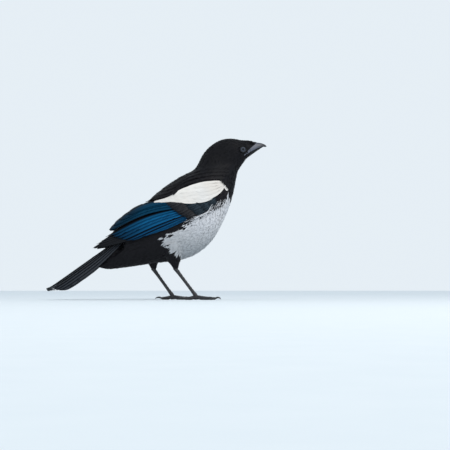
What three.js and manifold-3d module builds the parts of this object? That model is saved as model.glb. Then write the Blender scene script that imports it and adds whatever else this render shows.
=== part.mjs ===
// A young Eurasian magpie, life size, standing with its head up and its tail held low.
// Millimetres, +Z up, +X towards the bill and +Y to the bird's left.
import * as THREE from "three";
import { mergeVertices } from "three/addons/utils/BufferGeometryUtils.js";
import Module from "manifold-3d";

const wasm = await Module();
wasm.setup();

// Driving sizes
const WING_LENGTH = 189; // bend of the wing to the longest primary's tip
const TAIL_LENGTH = 140; // tail root to the tip of the middle feathers
const EYE_RADIUS = 4.1;
const GAP = 0.3; // between neighbouring pieces
const CLEARANCE = 0.45; // how far a piece is swollen before it is cut from its neighbour
const BODY_SIDES = 24;

const clamp01 = (x) => Math.min(1, Math.max(0, x));
const mix = (a, b, t) => a + (b - a) * t;
const ease = (from, to, x) => {
  const t = clamp01((x - from) / (to - from));
  return t * t * (3 - 2 * t);
};
const RIGHT = -1;
const LEFT = 1;
const sideName = (side) => (side === RIGHT ? "right" : "left");

// A smooth value through pairs of [position, value], eased from each to the next
function through(pairs, x) {
  const last = pairs.length - 1;
  if (x <= pairs[0][0]) return pairs[0][1];
  if (x >= pairs[last][0]) return pairs[last][1];
  const i = pairs.findIndex((pair) => pair[0] > x) - 1;
  const [before, start, end, after] = [Math.max(0, i - 1), i, i + 1, Math.min(last, i + 2)].map(
    (k) => pairs[k],
  );
  const span = end[0] - start[0];
  const slope = (a, b) => (b[0] === a[0] ? 0 : (b[1] - a[1]) / (b[0] - a[0]));
  const m0 = slope(before, end) * span;
  const m1 = slope(start, after) * span;
  const t = (x - start[0]) / span;
  const t2 = t * t;
  const t3 = t2 * t;
  return (
    (2 * t3 - 3 * t2 + 1) * start[1] +
    (t3 - 2 * t2 + t) * m0 +
    (-2 * t3 + 3 * t2) * end[1] +
    (t3 - t2) * m1
  );
}

// Solids

// A closed geometry as a solid, turned so that its faces point out
function solidFrom(geometry) {
  const bare = geometry.clone();
  bare.deleteAttribute("normal");
  bare.deleteAttribute("uv");
  const merged = mergeVertices(bare, 1e-4);
  const build = (triVerts) =>
    new wasm.Manifold(
      new wasm.Mesh({
        numProp: 3,
        vertProperties: new Float32Array(merged.attributes.position.array),
        triVerts,
      }),
    );
  const faces = new Uint32Array(merged.index.array);
  const made = build(faces);
  if (made.volume() > 0) return made;
  return build(faces.reverse());
}

// Draws each edge shorter than a limit together to one point, wherever that keeps the skin closed
function dropShortEdges(points, faces, limit) {
  const around = new Map();
  faces.forEach((face, f) => face.forEach((v) => around.set(v, [...(around.get(v) ?? []), f])));
  const neighbours = (v) => new Set(around.get(v).flatMap((f) => faces[f]));
  for (let f = 0; f < faces.length; f++) {
    for (let k = 0; k < 3 && faces[f]; k++) {
      const [a, b] = [faces[f][k], faces[f][(k + 1) % 3]];
      if (points[a].distanceTo(points[b]) > limit) continue;
      const near = neighbours(b);
      const shared = [...neighbours(a)].filter((v) => near.has(v) && v !== a && v !== b);
      if (shared.length !== 2) continue;
      for (const other of [...around.get(b)]) {
        if (faces[other].includes(a)) {
          faces[other].forEach((v) => around.set(v, around.get(v).filter((g) => g !== other)));
          faces[other] = null;
        } else {
          faces[other] = faces[other].map((v) => (v === b ? a : v));
          around.get(a).push(other);
        }
      }
      around.delete(b);
    }
  }
  return faces.filter((face) => face);
}

// Parts corners that touch without being one, by a small step of each towards its neighbours
function partTouchingCorners(points, faces, limit) {
  const neighbours = new Map();
  for (const face of faces) {
    for (const v of face) neighbours.set(v, new Set([...(neighbours.get(v) ?? []), ...face]));
  }
  const corners = [...neighbours.keys()].sort((a, b) => points[a].x - points[b].x);
  corners.forEach((a, i) => {
    for (let j = i + 1; j < corners.length; j++) {
      const b = corners[j];
      if (points[b].x - points[a].x > limit) break;
      if (points[a].distanceTo(points[b]) > limit) continue;
      const near = [...neighbours.get(b)].filter((v) => v !== b && v !== a);
      const middle = near.reduce((sum, v) => sum.add(points[v]), new THREE.Vector3());
      const step = middle.divideScalar(near.length).sub(points[b]).setLength(8 * limit);
      points[b].add(step);
    }
  });
}

function geometryFrom(solid) {
  const mesh = solid.getMesh();
  const { vertProperties: xyz, triVerts } = mesh;
  const points = [];
  for (let i = 0; i < xyz.length; i += 3) points.push(new THREE.Vector3(...xyz.slice(i, i + 3)));
  const faces = [];
  for (let i = 0; i < triVerts.length; i += 3) faces.push([...triVerts.slice(i, i + 3)]);
  const kept = dropShortEdges(points, faces, 0.03);
  partTouchingCorners(points, kept, 0.003);
  const geometry = new THREE.BufferGeometry().setFromPoints(points);
  geometry.setIndex(kept.flat());
  geometry.computeVertexNormals();
  return geometry;
}

const join = (solids) => solids.reduce((whole, next) => whole.add(next));

// The largest closed surface, which drops what a cut left loose
const largest = (solid) =>
  solid.decompose().reduce((best, next) => (next.volume() > best.volume() ? next : best));

// A skin through rings of equal count. The two halves of a ring mirror each other's diagonals,
// so that both faces of a thin plate are split alike, and each end closes across the ring.
function loft(rings) {
  const count = rings[0].length;
  const half = count / 2;
  const position = rings.flat().flatMap((p) => [p.x, p.y, p.z]);
  const index = [];
  for (let i = 0; i < rings.length - 1; i++) {
    for (let j = 0; j < count; j++) {
      const a = i * count + j;
      const b = i * count + ((j + 1) % count);
      const c = a + count;
      const d = b + count;
      if (j < half) index.push(a, b, d, a, d, c);
      else index.push(a, b, c, b, d, c);
    }
  }
  const close = (start, isEnd) => {
    for (let j = 0; j < half - 1; j++) {
      const [a, b, c, d] = [j, j + 1, count - 2 - j, count - 1 - j].map((k) => start + k);
      if (isEnd) index.push(a, b, d, b, c, d);
      else index.push(b, a, d, c, b, d);
    }
  };
  close(0, false);
  close((rings.length - 1) * count, true);
  const geometry = new THREE.BufferGeometry();
  geometry.setAttribute("position", new THREE.Float32BufferAttribute(position, 3));
  geometry.setIndex(index);
  return geometry;
}

// Places along a limb, each with how far its front stands out there: even, or in stepped plates
const evenly = (steps) => Array.from({ length: steps + 1 }, (_, i) => [i / steps, 0]);
const inPlates = (count, rise) =>
  Array.from({ length: count }, (_, i) => [
    [i / count, rise],
    [(i + 0.8) / count, 0],
  ])
    .flat()
    .concat([[1, rise]]);

// A round or oval limb along points, with a radius at each; flatten is its width over its height
function limb(points, radii, { sides = 10, stations = evenly(10), flatten = 1, swell = 0 } = {}) {
  const curve = new THREE.CatmullRomCurve3(points.map((p) => new THREE.Vector3(...p)));
  const girth = radii.map((radius, k) => [k / (radii.length - 1), radius]);
  const across = new THREE.Vector3();
  const rings = stations.map(([t, rise]) => {
    const centre = curve.getPoint(t);
    const along = curve.getTangent(t);
    across.crossVectors(new THREE.Vector3(0, 0, 1), along);
    if (across.length() < 0.05) across.set(0, 1, 0);
    across.normalize();
    const up = new THREE.Vector3().crossVectors(along, across);
    const radius = through(girth, t) + swell;
    return Array.from({ length: sides }, (_, j) => {
      const angle = (2 * Math.PI * j) / sides;
      const front = rise * Math.max(0, Math.cos(angle));
      return centre
        .clone()
        .addScaledVector(up, radius * Math.cos(angle) + front)
        .addScaledVector(across, radius * flatten * Math.sin(angle));
    });
  });
  return solidFrom(loft(rings));
}

// A thin box across the body through two points of its side view
function thinCut([x0, z0], [x1, z1], reach = 1.5) {
  const length = Math.hypot(x1 - x0, z1 - z0);
  const box = new THREE.BoxGeometry(length * reach, 160, GAP);
  box.rotateY(-Math.atan2(z1 - z0, x1 - x0));
  box.translate((x0 + x1) / 2, 0, (z0 + z1) / 2);
  return solidFrom(box);
}

// Body: one skin from the undertail coverts to the face, drawn through paired points of the back
// and the belly with the half width between them, and parted with thin cuts

const BODY = [
  { back: [-110, 51], belly: [-111, 44], half: 2 },
  { back: [-97, 69.5], belly: [-97, 40.5], half: 9.5 },
  { back: [-81, 87.5], belly: [-75.6, 42.5], half: 14 },
  { back: [-67, 104], belly: [-54, 45.5], half: 18.5 },
  { back: [-53.5, 120], belly: [-33.8, 48.6], half: 23 },
  { back: [-40, 135], belly: [-13.5, 50.5], half: 27.5 },
  { back: [-25, 149], belly: [8, 54.5], half: 31 },
  { back: [-11, 159.5], belly: [27, 63.5], half: 33 },
  { back: [1.4, 167], belly: [43.2, 78.3], half: 33.5 },
  { back: [10.8, 171.3], belly: [55, 98], half: 32 },
  { back: [17.6, 175], belly: [64.1, 117.5], half: 28.5 },
  { back: [22.3, 180.2], belly: [70.4, 135.7], half: 24.5 },
  { back: [25.7, 187], belly: [74.5, 153], half: 21 },
  { back: [29.7, 195.1], belly: [78, 171], half: 18.5 },
  { back: [35.8, 203.2], belly: [83.7, 181.6], half: 17.2 },
  { back: [44.6, 210.6], belly: [88.4, 188], half: 16.8 },
  { back: [55.4, 216.3], belly: [91, 191.4], half: 16.2 },
  { back: [67.5, 218], belly: [93.2, 193.4], half: 14.8 },
  { back: [79.7, 216.6], belly: [95, 194.8], half: 12 },
  { back: [88.5, 214.4], belly: [96.2, 196], half: 8.6 },
  { back: [93, 213.6], belly: [97, 197.4], half: 6.2 },
];
const backLine = new THREE.CatmullRomCurve3(
  BODY.map(({ back }) => new THREE.Vector3(back[0], 0, back[1])),
);
const bellyLine = new THREE.CatmullRomCurve3(
  BODY.map(({ belly }) => new THREE.Vector3(belly[0], 0, belly[1])),
);
const halfWidth = (t) =>
  through(
    BODY.map(({ half }, i) => [i / (BODY.length - 1), half]),
    t,
  );

function bodySkin(swell = 0) {
  const steps = 2 * (BODY.length - 1);
  const rings = [];
  for (let i = 0; i <= steps; i++) {
    const t = i / steps;
    const back = backLine.getPoint(t);
    const belly = bellyLine.getPoint(t);
    const centre = back.clone().lerp(belly, 0.5);
    const up = back.clone().sub(centre);
    up.setLength(up.length() + swell);
    const half = halfWidth(t) + swell;
    const ring = [];
    for (let j = 0; j < BODY_SIDES; j++) {
      const angle = (2 * Math.PI * j) / BODY_SIDES;
      const p = centre.clone().addScaledVector(up, Math.cos(angle));
      p.y = half * Math.sin(angle) * (1 + 0.06 * Math.abs(Math.cos(angle)));
      ring.push(p);
    }
    rings.push(ring);
  }
  return loft(rings);
}
const bodyWhole = solidFrom(bodySkin());
const bodySwollen = solidFrom(bodySkin(CLEARANCE));

// How far the body's flank reaches to one side at a point of the side view
const bodyMesh = new THREE.Mesh(
  bodySkin(),
  new THREE.MeshBasicMaterial({ side: THREE.DoubleSide }),
);
const probe = new THREE.Raycaster();
function flankAt(x, z) {
  probe.set(new THREE.Vector3(x, 200, z), new THREE.Vector3(0, -1, 0));
  const hits = probe.intersectObject(bodyMesh);
  return hits.length ? hits[0].point.y : 0;
}

const [tailBaseWhole, torsoWhole, neckWhole, headWhole] = bodyWhole
  .subtract(
    join([
      thinCut([-58, 108], [-43, 46]),
      thinCut([18, 176], [67, 126]),
      thinCut([32, 199], [80.5, 175.5]),
    ]),
  )
  .decompose()
  .sort((a, b) => a.boundingBox().max[2] - b.boundingBox().max[2]);

// Bill: one form, parted by a ribbon along the line of the mouth

const BILL = [
  { top: [80, 210], bottom: [84, 189.5], half: 6.6 },
  { top: [87, 213.2], bottom: [91, 192], half: 6.4 },
  { top: [94, 213.6], bottom: [97, 196.2], half: 5.3 },
  { top: [100.5, 213], bottom: [102.5, 200.2], half: 4.3 },
  { top: [107, 212.3], bottom: [108, 204], half: 3.2 },
  { top: [112, 211.1], bottom: [112.2, 206.6], half: 2.1 },
  { top: [115.5, 209.4], bottom: [114.8, 206.9], half: 1.2 },
  { top: [117.2, 207.6], bottom: [116.6, 206.7], half: 0.4 },
];
const MOUTH_LINE = [
  [70, 184.6],
  [85.5, 193.4],
  [94.5, 199.6],
  [104, 204.2],
  [110, 206.4],
  [113.6, 207.1],
  [114.6, 204],
];

function billSkin(swell = 0) {
  const line = (key) =>
    new THREE.CatmullRomCurve3(BILL.map((s) => new THREE.Vector3(s[key][0], 0, s[key][1])));
  const top = line("top");
  const bottom = line("bottom");
  const sides = 12;
  const steps = 12;
  const rings = [];
  for (let i = 0; i <= steps; i++) {
    const t = i / steps;
    const a = top.getPoint(t);
    const centre = a.clone().lerp(bottom.getPoint(t), 0.62);
    const up = a.sub(centre);
    const down = bottom.getPoint(t).sub(centre);
    up.setLength(up.length() + swell);
    down.setLength(down.length() + swell);
    const half =
      through(
        BILL.map((s, k) => [k / (BILL.length - 1), s.half]),
        t,
      ) + swell;
    const ring = [];
    for (let j = 0; j < sides; j++) {
      const angle = (2 * Math.PI * j) / sides;
      const c = Math.cos(angle);
      const p = centre.clone().addScaledVector(c > 0 ? up : down, Math.abs(c));
      p.y = half * Math.sin(angle);
      ring.push(p);
    }
    rings.push(ring);
  }
  return solidFrom(loft(rings));
}

function mouthRibbon() {
  const upper = MOUTH_LINE.map(([x, z]) => new THREE.Vector2(x, z + GAP / 2));
  const lower = MOUTH_LINE.map(([x, z]) => new THREE.Vector2(x - GAP / 4, z - GAP / 2)).reverse();
  const ribbon = new THREE.ExtrudeGeometry(new THREE.Shape([...upper, ...lower]), {
    depth: 40,
    bevelEnabled: false,
  });
  ribbon.rotateX(Math.PI / 2);
  ribbon.translate(0, 20, 0);
  return solidFrom(ribbon);
}
const bill = billSkin();
const [billUpper, billLower] = bill
  .subtract(mouthRibbon())
  .decompose()
  .sort((a, b) => b.volume() - a.volume());

// Eyes: balls sunk in the sides of the head, each in a ring of lid

const EYE_PLACE = [83.7, 201.4];
const EYE_PROUD = 1.6; // how far the ball stands out of the feathers round it
const eyeCentre = (side) =>
  new THREE.Vector3(
    EYE_PLACE[0],
    side * (flankAt(...EYE_PLACE) + EYE_PROUD - EYE_RADIUS),
    EYE_PLACE[1],
  );

function eyeBall(side, swell = 0) {
  const ball = new THREE.SphereGeometry(EYE_RADIUS + swell, 12, 8);
  const centre = eyeCentre(side);
  ball.translate(centre.x, centre.y, centre.z);
  return solidFrom(ball);
}

function lidRing(side) {
  const lid = new THREE.TorusGeometry(EYE_RADIUS - 0.2, 0.75, 5, 12);
  lid.rotateX(Math.PI / 2);
  lid.rotateZ(side * -0.42);
  const centre = eyeCentre(side);
  lid.translate(centre.x + 0.5, centre.y + side * 1.5, centre.z);
  return solidFrom(lid);
}

// Bristles that lie forward over the bill's root and hide the nostrils, as paths of one side
const BRISTLES = [
  [[84, 2.6, 214.6], [93, 2, 214.6], [100, 1.5, 213.7]],
  [[84, 5, 211.6], [93.5, 4.2, 211.6], [101.5, 3.7, 209.6]],
  [[86, 6.4, 207.6], [93, 5.7, 207.6], [99, 4.8, 206.2]],
];
const bristles = [RIGHT, LEFT].flatMap((side) =>
  BRISTLES.map((path) =>
    limb(
      path.map(([x, y, z]) => [x, side * y, z]),
      [1.7, 1.5, 0.45],
      { sides: 5, stations: evenly(3) },
    ),
  ),
);

// Legs: feathered thigh, scaled shank, four toes and their claws

const LEGS = {
  right: { side: RIGHT, hip: [-12, -19, 76], ankle: [-5.2, -17.5, 40], foot: [21, -20.5, 5.2] },
  left: { side: LEFT, hip: [-40, 19, 76], ankle: [-34.6, 17.5, 40], foot: [-9.5, 20.5, 5.2] },
};
// Each toe's heading from straight ahead, positive away from the body, and its length
const TOES = [
  { name: "inner", heading: -30, length: 19 },
  { name: "middle", heading: 2, length: 26 },
  { name: "outer", heading: 33, length: 20 },
  { name: "hind", heading: 176, length: 15 },
];

function thigh({ hip, ankle }, swell = 0) {
  const between = (t) => hip.map((c, i) => mix(c, ankle[i], t));
  const path = [hip, between(0.45), between(0.75), ankle];
  return limb(path, [14, 12, 7, 3.1], { sides: 12, stations: evenly(8), flatten: 0.8, swell });
}

const SHANK_SCUTES = 7;
const SCUTE_RISE = 0.3;
const SHANK_GIRTH = [2.9, 2.2, 2, 2, 2.1, 2.7];
function shank({ ankle, foot }) {
  const between = (t) => ankle.map((c, i) => mix(c, foot[i], t));
  return limb([between(0.035), between(0.5), foot], SHANK_GIRTH, {
    sides: 8,
    stations: inPlates(SHANK_SCUTES, SCUTE_RISE),
    flatten: 0.82,
  });
}

function toePath({ side, foot }, { heading, length }) {
  const angle = THREE.MathUtils.degToRad(heading) * side;
  const at = (share, height) => [
    foot[0] + Math.cos(angle) * length * share,
    foot[1] + Math.sin(angle) * length * share,
    height,
  ];
  return [at(-0.05, 4.2), at(0.25, 3), at(0.6, 2), at(1, 1.75)];
}

function toe(leg, kind) {
  return limb(toePath(leg, kind), [2.7, 2.35, 2.2, 1.7], { sides: 6, stations: evenly(4) });
}

// The pad where the toes meet under the shank, which carries the bird on a small flat
function footPad({ foot: [x, y, z] }) {
  const path = [[x, y, z], [x + 0.4, y, z * 0.5], [x + 0.6, y, -0.5]];
  return limb(path, [2.9, 3.3, 2.5], { sides: 8, stations: evenly(3) });
}

function claw(leg, kind) {
  const path = toePath(leg, kind);
  const end = new THREE.Vector3(...path[3]);
  const ahead = end.clone().sub(new THREE.Vector3(...path[0])).setZ(0).normalize();
  const size = kind.name === "hind" ? 9 : 7.5;
  const at = (forward, height) => {
    const p = end.clone().addScaledVector(ahead, forward);
    return [p.x, p.y, height];
  };
  return limb(
    [at(GAP + 0.1, 1.9), at(size * 0.4, 2.7), at(size * 0.75, 2.2), at(size, 0.5)],
    [1.35, 1.15, 0.8, 0.3],
    { sides: 6, stations: evenly(5) },
  );
}

const floor = new THREE.BoxGeometry(600, 300, 20);
floor.translate(0, 0, -10);
const floorBlock = solidFrom(floor);

// Wing: everything lies on one shell, given along the wing (u) from its bend and across it (v)

const WING_BEND = [54, 148];
const WING_DIP = THREE.MathUtils.degToRad(25);
// Along the wing: the shell's half breadth, the height of its widest line and its radius in height
const SHELL_BREADTH = [
  [-10, 17],
  [0, 22],
  [20, 28],
  [60, 34],
  [100, 29],
  [130, 23.5],
  [155, 17.5],
  [175, 12],
  [190, 8],
];
const SHELL_MIDDLE = [[0, -2], [60, -8], [100, -8], [130, -7], [155, -5], [175, -3], [190, -1]];
const SHELL_RADIUS = [
  [-10, 32],
  [20, 39],
  [60, 43],
  [100, 37.8],
  [130, 33.4],
  [155, 21.5],
  [175, 12.5],
  [190, 7],
];

function shellPoint(side, u, v) {
  const rise = (v - through(SHELL_MIDDLE, u)) / through(SHELL_RADIUS, u);
  const share = Math.sqrt(Math.max(0.03, 1 - rise * rise));
  return new THREE.Vector3(
    WING_BEND[0] - Math.cos(WING_DIP) * u - Math.sin(WING_DIP) * v,
    side * through(SHELL_BREADTH, u) * share,
    WING_BEND[1] - Math.sin(WING_DIP) * u + Math.cos(WING_DIP) * v,
  );
}

// A point on the wing, lifted off the shell along its outward normal
const onWing = (side) => (u, v, lift) => {
  const p = shellPoint(side, u, v);
  const du = shellPoint(side, u + 0.5, v).sub(p);
  const dv = shellPoint(side, u, v + 0.5).sub(p);
  const out = du.cross(dv).normalize();
  if (out.y * side < 0) out.negate();
  return p.addScaledVector(out, lift);
};

// One feather vane laid along a line of places on a surface, as wide as its shape says. Its two
// edges are tilted apart, so that each vane tucks one edge under its neighbour.
const VANE_SHAPE = [
  [0, 0.55],
  [0.33, 0.95],
  [0.68, 1],
  [0.89, 0.72],
  [1, 0.22],
];
function vane(point, line, { half, lift, tilt = 0, thick = [1.3, 0.5], columns = 1 }) {
  const curve = new THREE.CatmullRomCurve3(line.map(([u, v]) => new THREE.Vector3(u, v, 0)));
  const rings = VANE_SHAPE.map(([t, width]) => {
    const centre = curve.getPoint(t);
    const along = curve.getTangent(t);
    const height = mix(lift[0], lift[1], ease(0, 0.6, t));
    const depth = mix(thick[0], thick[1], t) / 2;
    const outer = [];
    const inner = [];
    for (let j = 0; j <= columns; j++) {
      const side = (2 * j) / columns - 1;
      const u = centre.x - along.y * side * half * width;
      const v = centre.y + along.x * side * half * width;
      const rise = height - tilt * side;
      outer.push(point(u, v, rise + depth));
      inner.unshift(point(u, v, rise - depth));
    }
    return [...outer, ...inner];
  });
  return solidFrom(loft(rings));
}

// The feathers of the folded wing, tier by tier, from the innermost layer out. Each tier gives
// its roots and its tips from the uppermost feather to the lowest, as places along and across
// the wing, and how high it lies over the shell at the root and at the tip.
const WING_TIERS = [
  {
    name: "primaries",
    count: 5,
    roots: [[87, 3], [85, -5], [80, -12]],
    tips: [[166, 6.5], [WING_LENGTH - 1, 0], [156, -7.5]],
    half: 4.2,
    lift: [-0.4, -0.9],
    tilt: 1.5,
    thick: [0.9, 0.5],
  },
  {
    name: "secondaries",
    count: 4,
    roots: [[74, 4], [70, -4], [66, -12]],
    tips: [[158, 3.5], [151, -4], [137, -11]],
    half: 5.4,
    lift: [0.6, 1.6],
    tilt: 1.4,
  },
  {
    name: "tertials",
    count: 3,
    roots: [[70, 19], [68, 14], [66, 9]],
    tips: [[121, 20], [140, 15.5], [155, 8.5]],
    half: 8,
    lift: [1, 2.6],
    tilt: 1.4,
    columns: 2,
  },
  {
    name: "primary coverts",
    count: 3,
    roots: [[54, -10], [50, -16]],
    tips: [[99, -11], [82, -17.5]],
    half: 3.6,
    lift: [1, 2.2],
    tilt: 1,
    thick: [0.9, 0.5],
  },
  {
    name: "greater coverts",
    count: 5,
    roots: [[42, 10], [40, -1], [36, -14]],
    tips: [[76, 11], [70, -2], [60, -17.5]],
    half: 4.9,
    lift: [1.8, 3],
    tilt: 1.2,
  },
  {
    name: "median coverts",
    count: 5,
    roots: [[22, 6], [20, -14]],
    tips: [[49, 2], [43, -20]],
    half: 4.4,
    lift: [2.6, 4],
    tilt: 1,
  },
  {
    name: "lesser coverts",
    count: 4,
    roots: [[4, 2], [4, -6], [6, -14]],
    tips: [[28, -3], [25, -11], [25, -20]],
    half: 4.2,
    lift: [3, 4.6],
    tilt: 1,
  },
  {
    name: "white scapulars",
    count: 5,
    roots: [[44, 19], [18, 11], [-4, 2]],
    tips: [[88, 20.5], [54, 5.5], [14, -6]],
    half: 6.4,
    lift: [3.6, 5.4],
    tilt: 1.5,
    thick: [1, 0.5],
    columns: 2,
  },
  {
    name: "front scapulars",
    count: 2,
    roots: [[14, 15], [-4, 7]],
    tips: [[56, 18.5], [26, 5]],
    half: 7,
    lift: [4.6, 7],
    tilt: 1,
    columns: 2,
  },
];

// A place between the first, middle and last of a tier
const placeAt = (places, t) =>
  [0, 1].map((axis) =>
    through(
      places.map((place, i) => [i / (places.length - 1), place[axis]]),
      t,
    ),
  );

// The pad under the coverts, which every feather of the wing is rooted in
const PAD_END = 94;
const PAD_LOW = [[-6, 0], [0, -8], [20, -16], [57, -17], [PAD_END, -13]];
const PAD_HIGH = [[-6, 5], [0, 9], [25, 18], [55, 21], [PAD_END, 20]];
const PAD_FACE = [[-6, 2.4], [20, 3.7], [50, 2.6], [75, 1.7], [PAD_END, 0.5]];
const PAD_DEPTH = [[0, -9], [60, -8], [PAD_END, -0.4]];

function wingPad(side) {
  const point = onWing(side);
  const columns = 5;
  const rows = 8;
  const rings = [];
  for (let i = 0; i <= rows; i++) {
    const u = mix(-6, PAD_END, i / rows);
    const outer = [];
    const inner = [];
    for (let j = 0; j <= columns; j++) {
      const v = mix(through(PAD_LOW, u), through(PAD_HIGH, u), j / columns);
      outer.push(point(u, v, through(PAD_FACE, u)));
      inner.unshift(point(u, v, through(PAD_DEPTH, u)));
    }
    rings.push([...outer, ...inner]);
  }
  return solidFrom(loft(rings));
}

function wing(side) {
  const vanes = WING_TIERS.flatMap(({ count, roots, tips, ...form }) =>
    Array.from({ length: count }, (_, i) => {
      const share = i / (count - 1);
      const [root, tip] = [placeAt(roots, share), placeAt(tips, share)];
      const middle = [mix(root[0], tip[0], 0.5), mix(root[1], tip[1], 0.5)];
      return vane(onWing(side), [root, middle, tip], form);
    }),
  );
  return join([wingPad(side), ...vanes]);
}

// Tail: laid along a straight crown, its feathers hung on an arch either side of it

const TAIL_ROOT = [-63, 94.4];
const TAIL_DIP = THREE.MathUtils.degToRad(35.5);
const ARCH_HALF = 17;
const ARCH_DROP = 16;

// A point on the tail: u along it, arc its angle round the arch in degrees, lift off its face
function onTail(u, arc, lift) {
  const open = mix(0.42, 1, ease(-10, 75, u));
  const angle = THREE.MathUtils.degToRad(arc);
  const half = ARCH_HALF * open;
  const drop = ARCH_DROP * open;
  const out = new THREE.Vector2(Math.sin(angle) / half, Math.cos(angle) / drop).normalize();
  const y = half * Math.sin(angle) + out.x * lift;
  const n = -drop * (1 - Math.cos(angle)) + out.y * lift;
  return new THREE.Vector3(
    TAIL_ROOT[0] - Math.cos(TAIL_DIP) * u - Math.sin(TAIL_DIP) * n,
    y,
    TAIL_ROOT[1] - Math.sin(TAIL_DIP) * u + Math.cos(TAIL_DIP) * n,
  );
}

// Places on the tail as a length along it and a distance round the arch
const MM_ROUND_ARCH = (Math.PI / 360) * (ARCH_HALF + ARCH_DROP);
const tailPlace = (u, round, lift) => onTail(u, round / MM_ROUND_ARCH, lift);

// The root of the tail, a short thick arch inside the tail coverts, which its feathers grow from
const TAIL_BLOCK = 22;
const TAIL_BLOCK_FACE = 2.7; // it covers the roots of the feathers above and below
function tailBlock() {
  const rows = 2;
  const columns = 8;
  const rings = [];
  for (let i = 0; i <= rows; i++) {
    const u = mix(0, TAIL_BLOCK, i / rows);
    const outer = [];
    const inner = [];
    for (let j = 0; j <= columns; j++) {
      const arc = mix(-100, 100, j / columns);
      outer.push(onTail(u, arc, TAIL_BLOCK_FACE));
      inner.unshift(onTail(u, arc, -TAIL_BLOCK_FACE));
    }
    rings.push([...outer, ...inner]);
  }
  return solidFrom(loft(rings));
}

// Twelve tail feathers, the middle pair on top and longest, each outer pair shorter and below
const RECTRIX_SHARES = [1, 0.99, 0.975, 0.955, 0.93, 0.9];
const RECTRIX_HALF = 6.5;
const RECTRIX_STEP = 3.5; // from one to the next round the arch, at their tips
const RECTRIX_FIRST = 2.6; // the middle pair's distance from the crown
function tailFeathers() {
  return [RIGHT, LEFT].flatMap((side) =>
    RECTRIX_SHARES.map((share, i) => {
      const round = side * (RECTRIX_FIRST + RECTRIX_STEP * i);
      const tip = [TAIL_LENGTH * share, round];
      const middle = [tip[0] * 0.5, round * 0.96];
      return vane(tailPlace, [[12, round * 0.85], middle, tip], {
        half: RECTRIX_HALF,
        lift: [0, i === 0 && side === LEFT ? 1 : 0],
        tilt: -side * 2.4,
        thick: [0.9, 0.5],
      });
    }),
  );
}
const tailWhole = join([tailBlock(), ...tailFeathers()]);

// The space that the tail takes up, which its coverts keep clear of
function tailSpace() {
  const rows = 10;
  const columns = 12;
  const rings = [];
  for (let i = 0; i <= rows; i++) {
    const u = mix(-CLEARANCE, TAIL_LENGTH, i / rows);
    const outer = [];
    const inner = [];
    for (let j = 0; j <= columns; j++) {
      const arc = mix(-108, 108, j / columns);
      outer.push(onTail(u, arc, TAIL_BLOCK_FACE + CLEARANCE));
      inner.unshift(onTail(u, arc, -TAIL_BLOCK_FACE - CLEARANCE));
    }
    rings.push([...outer, ...inner]);
  }
  return solidFrom(loft(rings));
}

// Assembly: neighbours are cut clear of each other, and each node keeps its largest body

const FEATHER_BLACK = { color: 0x17161b, roughness: 0.62 };
const FEATHER_WHITE = { color: 0xe4e2e0, roughness: 0.75 };
const FEATHER_BLUE = { color: 0x0d3a58, roughness: 0.42 };
const HORN = { color: 0x2e2f36, roughness: 0.4 };
const LEG_SKIN = { color: 0x1d1c1f, roughness: 0.5 };
const EYE_GLOSS = { color: 0x17181d, roughness: 0.08 };

const magpie = new THREE.Group();
function addNode(name, solid, finish) {
  const material = new THREE.MeshStandardMaterial({ metalness: 0, ...finish });
  const mesh = new THREE.Mesh(geometryFrom(largest(solid)), material);
  mesh.name = name;
  magpie.add(mesh);
}

const billClear = billSkin(GAP);
const tailClear = tailSpace();
const eyeSockets = join([eyeBall(RIGHT, GAP), eyeBall(LEFT, GAP)]);
const head = join([headWhole, lidRing(RIGHT), lidRing(LEFT), ...bristles]).subtract(eyeSockets);

addNode("head", head.subtract(billClear), FEATHER_BLACK);
addNode("neck", neckWhole, FEATHER_BLACK);
addNode("torso", torsoWhole, FEATHER_WHITE);
addNode("tail_base", tailBaseWhole.subtract(tailClear), FEATHER_BLACK);
addNode("tail", tailWhole, FEATHER_BLACK);
addNode("bill_upper", billUpper, HORN);
addNode("bill_lower", billLower, HORN);

for (const side of [RIGHT, LEFT]) {
  const name = sideName(side);
  const leg = LEGS[name];
  addNode(`eye_${name}`, eyeBall(side), EYE_GLOSS);
  const thighClear = thigh(leg, CLEARANCE);
  addNode(
    `wing_${name}`,
    wing(side).subtract(join([bodySwollen, thighClear, tailClear])),
    FEATHER_BLUE,
  );
  const shankSolid = shank(leg);
  addNode(`thigh_${name}`, thigh(leg).subtract(bodySwollen), FEATHER_BLACK);
  const toes = join(TOES.map((kind) => toe(leg, kind)));
  const foot = join([toes, footPad(leg)]);
  const shankCut = thinCut(
    [leg.foot[0] - 5, leg.foot[2] + 1.8],
    [leg.foot[0] + 5, leg.foot[2] + 1.8],
  );
  const [shankOnly] = shankSolid
    .subtract(shankCut)
    .decompose()
    .sort((a, b) => b.volume() - a.volume());
  addNode(`shank_${name}`, shankOnly.subtract(thigh(leg, 0.05)), LEG_SKIN);
  addNode(`foot_${name}`, foot.subtract(floorBlock), LEG_SKIN);
  TOES.forEach((kind) =>
    addNode(`claw_${kind.name}_${name}`, claw(leg, kind).subtract(floorBlock), HORN),
  );
}

// The frame's origin is the middle of the bounding box, on the ground
const box = new THREE.Box3().setFromObject(magpie);
magpie.position.set(-(box.min.x + box.max.x) / 2, -(box.min.y + box.max.y) / 2, -box.min.z);

export default magpie;
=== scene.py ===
# A young Eurasian magpie as a museum shows it, dressed feather by feather over its solids.
# Places are given in millimetres on the bird's own side view and turned into the frame's metres.
import math

import bmesh
import bpy
import numpy as np
from mathutils import Matrix, Vector
from mathutils.bvhtree import BVHTree
from mathutils.kdtree import KDTree


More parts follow.
